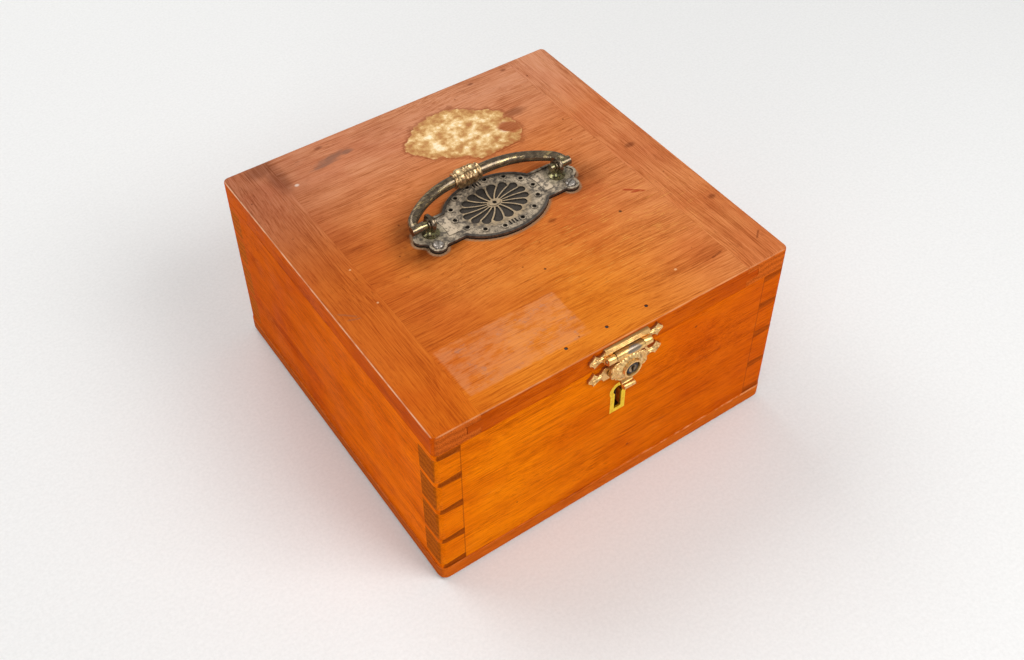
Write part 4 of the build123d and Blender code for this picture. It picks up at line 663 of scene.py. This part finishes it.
def bronze(name, worn_share, gold, green_spots=(), tone=1.0, gloss=0.14, shades=OLD_BRONZE):
    """Dark handled bronze: gold where hands rub, near black elsewhere, green salts in the corners."""
    p = Paint(name)
    lumps = p.noise(p.place, 0.45, 3.0, 0.55)
    fine = p.noise(p.place, 3.0, 3.0, 0.6)
    dark, mid, light = [tuple(tone * c for c in shade) for shade in shades]
    colour = p.ramp(lumps, (0.3, dark), (0.52, mid), (0.72, light))
    # rubs are long along the bar and broken across it
    rub = p.noise(p.place, (0.11, 0.8, 0.8), 3.0, 0.6)
    worn = p.times(p.step(rub, 0.62 - worn_share, 0.74 - worn_share), p.step(p.up, -0.2, 0.75))
    colour = p.mix(p.times(worn, 0.85), colour, gold)
    for x, y, z, reach in green_spots:
        near = p.step(p.vector("DISTANCE", p.place, (x, y, z)), reach * 1.3, reach * 0.5)
        salt = p.times(near, p.step(p.noise(p.place, 0.9, 4.0, 0.7), 0.40, 0.58))
        colour = p.mix(p.times(salt, 0.8), colour, (0.28, 0.27, 0.11))
    rough = p.times_plus(lumps, 0.22, gloss)
    height = p.times_plus(lumps, 0.3, p.times(fine, 0.12))
    return p.finish(colour=colour, metal=0.85, rough=rough, normal=p.bump(height, 0.03, 0.25), specular=0.5)


def brass(name, tarnish, clean, depth=0.05, low_y=None, grey=None):
    """Lacquered stamped brass, gold on what stands proud and brown in what is sunk."""
    p = Paint(name)
    blotch = p.noise(p.place, 0.5, 4.0, 0.65)
    fine = p.noise(p.place, 3.6, 3.0, 0.6)
    share = p.step(blotch, 0.42, 0.70)
    if low_y is not None:
        # sunk faces lie further back, so they hold the dark polish residue
        sunk = p.step(p.y, low_y - 0.45, low_y + 0.35)
        residue = p.times(sunk, p.step(fine, 0.3, 0.6, 0.35, 1.0))
        share = p.math("MAXIMUM", p.times(share, 0.55), residue)
    colour = p.mix(share, clean, tarnish)
    if grey is not None:
        x, z, rx, rz = grey
        spill = p.reach(p.math("DIVIDE", p.minus(p.x, x), rx), p.math("DIVIDE", p.minus(p.z, z), rz))
        colour = p.mix(p.times(p.step(spill, 1.15, 0.8), 0.85), colour, (0.185, 0.170, 0.155))
    rough = p.times_plus(blotch, 0.22, p.times_plus(share, 0.14, 0.20))
    height = p.math("ADD", p.times(blotch, 0.5), p.times(fine, 0.2))
    return p.finish(colour=colour, metal=0.92, rough=rough, normal=p.bump(height, depth, 0.6), specular=0.5)


def plug_metal():
    """The lock plug: a black ring of painted shade for the gap round it, a brown disc inside it and a light
    crescent on the disc.
    """
    p = Paint("plug_brass")
    u = p.minus(p.x, LATCH_X)
    v = p.minus(p.z, BOSS_Z)
    out = p.reach(u, v)
    fine = p.noise(p.place, 2.4, 3.0, 0.6)
    disc = p.ramp(fine, (0.3, (0.10, 0.065, 0.035)), (0.7, (0.30, 0.205, 0.11)))
    # painted shade: beyond the disc the plug is painted near black, standing for the shaded gap round it
    colour = p.mix(p.step(out, 2.05, 2.3), disc, (0.018, 0.019, 0.026))
    band = p.times(p.step(out, 1.2, 1.5), p.step(out, 2.2, 1.9))
    crescent = p.times(p.step(u, 0.2, -0.9), band)
    colour = p.mix(p.times(crescent, 0.8), colour, (0.50, 0.34, 0.19))
    rough = p.times_plus(fine, 0.3, 0.25)
    return p.finish(colour=colour, metal=0.7, rough=rough, normal=p.bump(fine, 0.04, 0.5))


def steel(name, clean, dirt, dirty, marks_scale=(3.0, 3.0, 3.0)):
    """Plain steel gone grey, with brown bloom and turning or filing marks."""
    p = Paint(name)
    bloom = p.noise(p.place, 0.7, 4.0, 0.65)
    marks = p.noise(p.place, marks_scale, 2.0, 0.5)
    colour = p.mix(p.step(bloom, 0.60 - dirty, 0.76 - dirty), clean, dirt)
    colour = p.mix(p.step(marks, 0.4, 0.7, 0.0, 0.35), colour, tuple(1.6 * c for c in clean))
    rough = p.times_plus(bloom, 0.35, 0.25)
    return p.finish(colour=colour, metal=0.85, rough=rough, normal=p.bump(marks, 0.03, 0.5))


def dress_handle():
    eyes = [(HANDLE_X + side * POST_X, POST_Y, EYE_Z) for side in (-1, 1)]
    dress("handle_backplate", plate_metal())
    bail_salts = [(*eye, 5.0) for eye in eyes]
    dress("handle_bail", bronze("antique_bail", 0.09, (0.62, 0.46, 0.21), bail_salts, 1.15))
    dress("handle_ferrule", bronze("antique_ferrule", 0.16, (1.0, 0.74, 0.38), (), 1.15, 0.22, BROWN_BRONZE))
    foot_salts = [(x, y, z - 4.5, 6.0) for x, y, z in eyes]
    for name in ("handle_post_left", "handle_post_right"):
        dress(name, bronze(name + "_bronze", 0.02, (0.40, 0.30, 0.16), foot_salts))
    dress("handle_screws", steel("screw_steel", (0.40, 0.36, 0.315), (0.17, 0.13, 0.10), 0.12))


def dress_latch():
    gold, brown = (0.90, 0.55, 0.195), (0.34, 0.175, 0.058)
    grey_spill = (3.0, 105.3, 4.2, 1.3)
    dress("latch_plate", brass("latch_plate_brass", brown, gold, 0.06, PLATE_FACE + 0.3))
    dress("catch_plate", brass("catch_plate_brass", brown, gold, 0.06, PLATE_FACE + 0.3))
    dress("hasp", brass("hasp_brass", brown, gold, 0.06, HASP_FACE + 0.2, grey_spill))
    dress("hasp_plug", plug_metal())
    for name in ("latch_plate_nails", "catch_plate_nails", "hasp_pin", "hasp_cam"):
        dress(name, brass(name + "_brass", (0.30, 0.19, 0.08), (0.60, 0.40, 0.17), 0.03))
    dress("escutcheon", brass("keyhole_yellow", (0.84, 0.50, 0.012), (1.0, 0.74, 0.030), 0.02))


def dress_hinges_and_lock():
    for part in ("case_hinge_leaf", "lid_hinge_leaf", "hinge_pin"):
        for name in (part + "_left", part + "_right"):
            dress(name, brass(name + "_brass", (0.22, 0.13, 0.05), (0.55, 0.36, 0.15), 0.05))
    screw_brown, screw_gold = (0.24, 0.15, 0.06), (0.55, 0.37, 0.16)
    dress("case_hinge_screws", brass("case_hinge_screw_brass", screw_brown, screw_gold, 0.03))
    dress("lid_hinge_screws", brass("lid_hinge_screw_brass", screw_brown, screw_gold, 0.03))
    dress("link_pins", steel("pin_iron", (0.10, 0.085, 0.075), (0.03, 0.02, 0.016), 0.2))
    for name in ("base_screws", "lock_screws"):
        dress(name, steel(name + "_iron", (0.22, 0.20, 0.18), (0.11, 0.05, 0.025), 0.12))
    filed_along = (0.3, 4.0, 4.0)
    for name in ("lock_case", "lock_cover", "lock_bolt", "link_plate"):
        dress(name, steel(name + "_steel", (0.34, 0.33, 0.31), (0.16, 0.09, 0.05), 0.08, filed_along))


dress_woods()
dress_trays()
dress_handle()
dress_latch()
dress_hinges_and_lock()


# Softer edges on the carried-over pieces

def soften(names, width, degrees=35):
    """Join the CAD faces' doubled vertices and round the edges a little."""
    for name in names:
        piece = nodes[name]
        weld = piece.modifiers.new("weld", "WELD")
        weld.merge_threshold = 0.02 * MM
        flat = piece.modifiers.new("flat", "DECIMATE")
        flat.decimate_type = "DISSOLVE"
        flat.angle_limit = math.radians(0.8)
        bevel = piece.modifiers.new("bevel", "BEVEL")
        bevel.width = width * MM
        bevel.segments = 2
        bevel.limit_method = "ANGLE"
        bevel.angle_limit = math.radians(degrees)
        bevel.harden_normals = True


soften(("front_board", "back_board", "left_board", "right_board"), 0.16)
soften(("latch_plate", "catch_plate", "hasp"), 0.28, 50)
soften(("base_board",), 0.3)
soften(("lid_panel", "lid_cleat_left", "lid_cleat_right"), 0.08)


# New meshes

def grid_faces(start, rows, width, closed):
    """Faces between rows of points, whose ends meet where the rows are closed."""
    last = width if closed else width - 1
    faces = []
    for i in range(rows - 1):
        for j in range(last):
            a, b = start + i * width + j, start + i * width + (j + 1) % width
            faces.append((a, b, b + width, a + width))
    return faces


def smooth_piece(name, points, faces, material):
    mesh = bpy.data.meshes.new(name)
    mesh.from_pydata(points, [], faces)
    mesh.polygons.foreach_set("use_smooth", [True] * len(mesh.polygons))
    mesh.materials.append(material)
    piece = bpy.data.objects.new(name, mesh)
    bpy.context.collection.objects.link(piece)
    return piece


def ferrule():
    """The bail's turned ferrule: two swelling halves, twin rings between them and a bead at each end."""
    # place along the bail and radius
    profile = [
        (-8.0, 2.9), (-8.0, 3.5), (-7.7, 4.0), (-7.25, 4.15), (-6.85, 3.9), (-6.6, 3.6), (-6.3, 3.6),
        (-6.0, 4.0), (-5.5, 4.6), (-4.6, 5.0), (-3.4, 5.15), (-2.4, 5.0), (-1.95, 4.65), (-1.7, 4.45),
        (-1.45, 4.6), (-1.15, 5.05), (-0.8, 5.18), (-0.45, 5.05), (-0.15, 4.6), (0.05, 4.45),
        (0.3, 4.6), (0.6, 5.05), (0.95, 5.18), (1.3, 5.05), (1.6, 4.6), (1.8, 4.45), (2.1, 4.75),
        (2.8, 5.08), (3.8, 5.12), (4.8, 4.8), (5.4, 4.3), (5.7, 3.85), (6.0, 3.75), (6.3, 4.0),
        (6.75, 4.5), (7.2, 4.45), (7.6, 4.0), (7.85, 3.5), (8.0, 2.9)]
    around = 72
    low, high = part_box("handle_ferrule")
    centre = (low + high) / 2
    points = []
    for x, radius in profile:
        for j in range(around):
            angle = 2 * math.pi * j / around
            y, z = radius * MM * math.cos(angle), radius * MM * math.sin(angle)
            points.append((centre.x + x * MM, centre.y + y, centre.z + z))
    faces = grid_faces(0, len(profile), around, True)
    material = nodes["handle_ferrule"].material_slots[0].material
    piece = smooth_piece("ferrule_turned", points, faces, material)
    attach(piece, "bail")
    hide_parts("handle_ferrule")


class Relief:
    """Raised strokes on faces that look to the front, gathered into one piece."""

    CLOSED = 0.02

    def __init__(self, name, body, material, face):
        self.name, self.body, self.material, self.face = name, body, material, face
        self.points, self.faces = [], []

    def grid(self, rows, closed=False):
        self.faces += grid_faces(len(self.points), len(rows), len(rows[0]), closed)
        for row in rows:
            self.points.extend(row)

    def stroke(self, knots, width, height, start_share=0.25, end_share=0.25, steps=26):
        """A rounded bar that follows knots (x, z) on a smooth curve and thins towards its ends."""
        knots = np.array(knots, float)
        padded = np.vstack([2 * knots[0] - knots[1], knots, 2 * knots[-1] - knots[-2]])
        rows = []
        for i in range(steps + 1):
            where = i / steps * (len(knots) - 1)
            k = min(int(where), len(knots) - 2)
            t = where - k
            a, b, c, d = padded[k:k + 4]
            bend, twist = 2 * a - 5 * b + 4 * c - d, 3 * b - a - 3 * c + d
            here = 0.5 * (2 * b + (c - a) * t + bend * t * t + twist * t ** 3)
            run = 0.5 * ((c - a) + 2 * bend * t + 3 * twist * t * t)
            side = np.array([-run[1], run[0]]) / max(np.hypot(*run), 1e-6)
            share = i / steps
            swell = math.sin(math.pi * share) ** 0.6
            taper = swell + (1 - swell) * (start_share if share < 0.5 else end_share)
            squash = 1
            if i in (0, steps):
                taper = squash = self.CLOSED
            lift = height * (0.25 + 0.75 * taper) * squash
            rows.append([
                (here[0] + side[0] * math.cos(angle) * width / 2 * taper,
                 self.face + 0.05 - math.sin(angle) * lift,
                 here[1] + side[1] * math.cos(angle) * width / 2 * taper)
                for angle in np.linspace(0, math.pi, 9)])
        self.grid(rows)

    def build(self):
        points = [(x * MM, y * MM, z * MM) for x, y, z in self.points]
        piece = smooth_piece(self.name, points, self.faces, self.material)
        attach(piece, self.body)


def at_latch(side, middle_z, *pairs):
    """Knots at distances from the latch's middle, to its left or right."""
    return [(LATCH_X + side * x, middle_z + z) for x, z in pairs]


def wing_leaves(relief, middle_z):
    """Each wing's leaf: a long middle rib between two curled side lobes and two tip curls."""
    for side in (-1, 1):
        rib = at_latch(side, middle_z, (13.0, 0.2), (15.2, 0.0), (17.8, 0.0), (20.2, 0.0))
        relief.stroke(rib, 1.1, 0.55, 0.5, 0.35)
        upper = at_latch(side, middle_z, (12.8, 2.3), (14.4, 1.3), (16.2, 1.7), (17.7, 3.3))
        relief.stroke(upper, 0.9, 0.45, 0.4, 0.6)
        lower = at_latch(side, middle_z, (12.8, -2.4), (14.6, -1.3), (16.4, -1.8), (17.9, -3.3))
        relief.stroke(lower, 0.9, 0.45, 0.4, 0.6)
        upper_tip = at_latch(side, middle_z, (18.2, 2.9), (19.0, 1.7), (20.2, 0.9))
        relief.stroke(upper_tip, 0.7, 0.35, 0.5, 0.4, 14)
        lower_tip = at_latch(side, middle_z, (18.2, -2.9), (19.0, -1.6), (20.2, -0.8))
        relief.stroke(lower_tip, 0.7, 0.35, 0.5, 0.4, 14)


def hasp_shell(shell):
    """Leaves that spread from the boss, over its sloping foot and out to scrolls on the hasp's cheeks."""
    leaves, per_leaf, rings = 15, 12, 13
    foot_inner, foot_outer, foot_rise = 5.6, 7.8, 1.5
    rows = []
    for i in range(rings):
        share = i / (rings - 1)
        row = []
        for j in range(leaves * per_leaf):
            angle = 2 * math.pi * j / (leaves * per_leaf)
            ripple = abs(math.cos(angle * leaves / 2))
            out = 5.35 + share * (1.55 + 0.95 * ripple ** 0.6)
            cone = foot_rise * min(max((foot_outer - out) / (foot_outer - foot_inner), 0.0), 1.0)
            lift = 0.10 + 0.42 * ripple * math.sin(math.pi * min(share * 0.9 + 0.05, 1.0)) ** 0.7
            if i == rings - 1:
                lift = -0.06
            x, z = LATCH_X + out * math.cos(angle), BOSS_Z + out * math.sin(angle)
            row.append((x, HASP_FACE - cone - lift, z))
        rows.append(row)
    shell.grid(rows, closed=True)
    for side in (-1, 1):
        upper_scroll = at_latch(side, BOSS_Z, (8.1, 3.8), (9.1, 2.9), (9.6, 1.6), (8.6, 0.9))
        shell.stroke(upper_scroll, 0.9, 0.5, 0.5, 0.7, 18)
        lower_scroll = at_latch(side, BOSS_Z, (8.1, -4.2), (9.2, -3.4), (9.7, -2.0), (8.7, -1.0))
        shell.stroke(lower_scroll, 0.9, 0.5, 0.5, 0.7, 18)
        upper_sprig = at_latch(side, BOSS_Z, (5.0, 5.6), (6.6, 5.2), (7.9, 5.0), (8.6, 4.4))
        shell.stroke(upper_sprig, 0.8, 0.4, 0.4, 0.5, 18)
        lower_sprig = at_latch(side, BOSS_Z, (3.4, -7.6), (4.8, -6.6), (6.3, -5.9), (7.9, -5.2))
        shell.stroke(lower_sprig, 0.8, 0.4, 0.4, 0.5, 18)


def latch_relief():
    """Cast ornament on the latch: both plates' wings, the upper plate's beads and the hasp's shell."""
    gilt = brass("relief_brass", (0.42, 0.23, 0.08), (0.90, 0.60, 0.25), 0.02)
    upper = Relief("latch_plate_relief", "lid", gilt, PLATE_FACE)
    wing_leaves(upper, 105.6)
    for z, width in ((109.0, 0.8), (108.0, 0.6), (107.2, 0.6)):
        bead = [(LATCH_X - 12.2, z), (LATCH_X, z), (LATCH_X + 12.2, z)]
        upper.stroke(bead, width, 0.34, 0.9, 0.9)
    upper.build()
    lower = Relief("catch_plate_relief", "case", gilt, PLATE_FACE)
    wing_leaves(lower, 93.2)
    lower.build()
    shell = Relief("hasp_shell_relief", "hasp", gilt, HASP_FACE)
    hasp_shell(shell)
    shell.build()


ferrule()
latch_relief()


# Stage: pale floor, soft studio light, and the camera at the photograph's angle

def stage():
    half, drop = 3.0, -0.0002
    mesh = bpy.data.meshes.new("floor")
    corners = [(-half, -half, drop), (half, -half, drop), (half, half, drop), (-half, half, drop)]
    mesh.from_pydata(corners, [], [(0, 1, 2, 3)])
    floor = bpy.data.objects.new("floor", mesh)
    bpy.context.collection.objects.link(floor)
    p = Paint("floor_paper")
    paper = p.ramp(p.noise(p.place, 0.6, 3.0, 0.6), (0.3, (0.78, 0.78, 0.77)), (0.7, (0.84, 0.84, 0.83)))
    mesh.materials.append(p.finish(colour=paper, rough=0.85))


def area_light(name, place, aim, size, power):
    data = bpy.data.lights.new(name, "AREA")
    data.shape = "RECTANGLE"
    data.size, data.size_y = size
    data.energy = power
    lamp = bpy.data.objects.new(name, data)
    lamp.location = place
    lamp.rotation_euler = (Vector(aim) - Vector(place)).to_track_quat("-Z", "Y").to_euler()
    bpy.context.collection.objects.link(lamp)


def camera():
    """The camera that the box's corners in the photograph give, in a 1024 x 660 frame."""
    width, height = 1024, 660
    focal_px = 1237.83
    centre_px = (498.22, 269.41)
    place = Vector((-0.25272, -0.37922, 0.52599))
    right = Vector((0.8256, -0.5642, -0.0105)).normalized()
    back = Vector((-0.3929, -0.5881, 0.7069)).normalized()
    up = back.cross(right).normalized()
    right = up.cross(back)
    data = bpy.data.cameras.new("camera")
    data.sensor_width = 36.0
    data.sensor_fit = "HORIZONTAL"
    data.lens = focal_px * data.sensor_width / width
    data.shift_x = (width / 2 - centre_px[0]) / width
    data.shift_y = (centre_px[1] - height / 2) / width
    data.clip_start = 0.01
    piece = bpy.data.objects.new("camera", data)
    piece.matrix_world = Matrix.Translation(place) @ Matrix((right, up, back)).transposed().to_4x4()
    bpy.context.collection.objects.link(piece)
    bpy.context.scene.camera = piece


def studio_world():
    studio = bpy.data.worlds.new("studio")
    studio.use_nodes = True
    background = studio.node_tree.nodes["Background"]
    background.inputs["Color"].default_value = (1.0, 1.0, 1.0, 1)
    background.inputs["Strength"].default_value = 0.40
    bpy.context.scene.world = studio


stage()
studio_world()
camera()
area_light("key", (0.5, -0.9, 1.1), (0, 0, 0.05), (0.8, 0.8), 12.0)
area_light("fill", (-0.95, -0.75, 0.35), (-0.03, -0.03, 0.06), (0.7, 0.5), 3.5)
area_light("sky", (-0.3, 0.9, 1.2), (0, 0, 0.05), (1.2, 0.8), 10.4)
bpy.context.scene.view_settings.view_transform = "Standard"
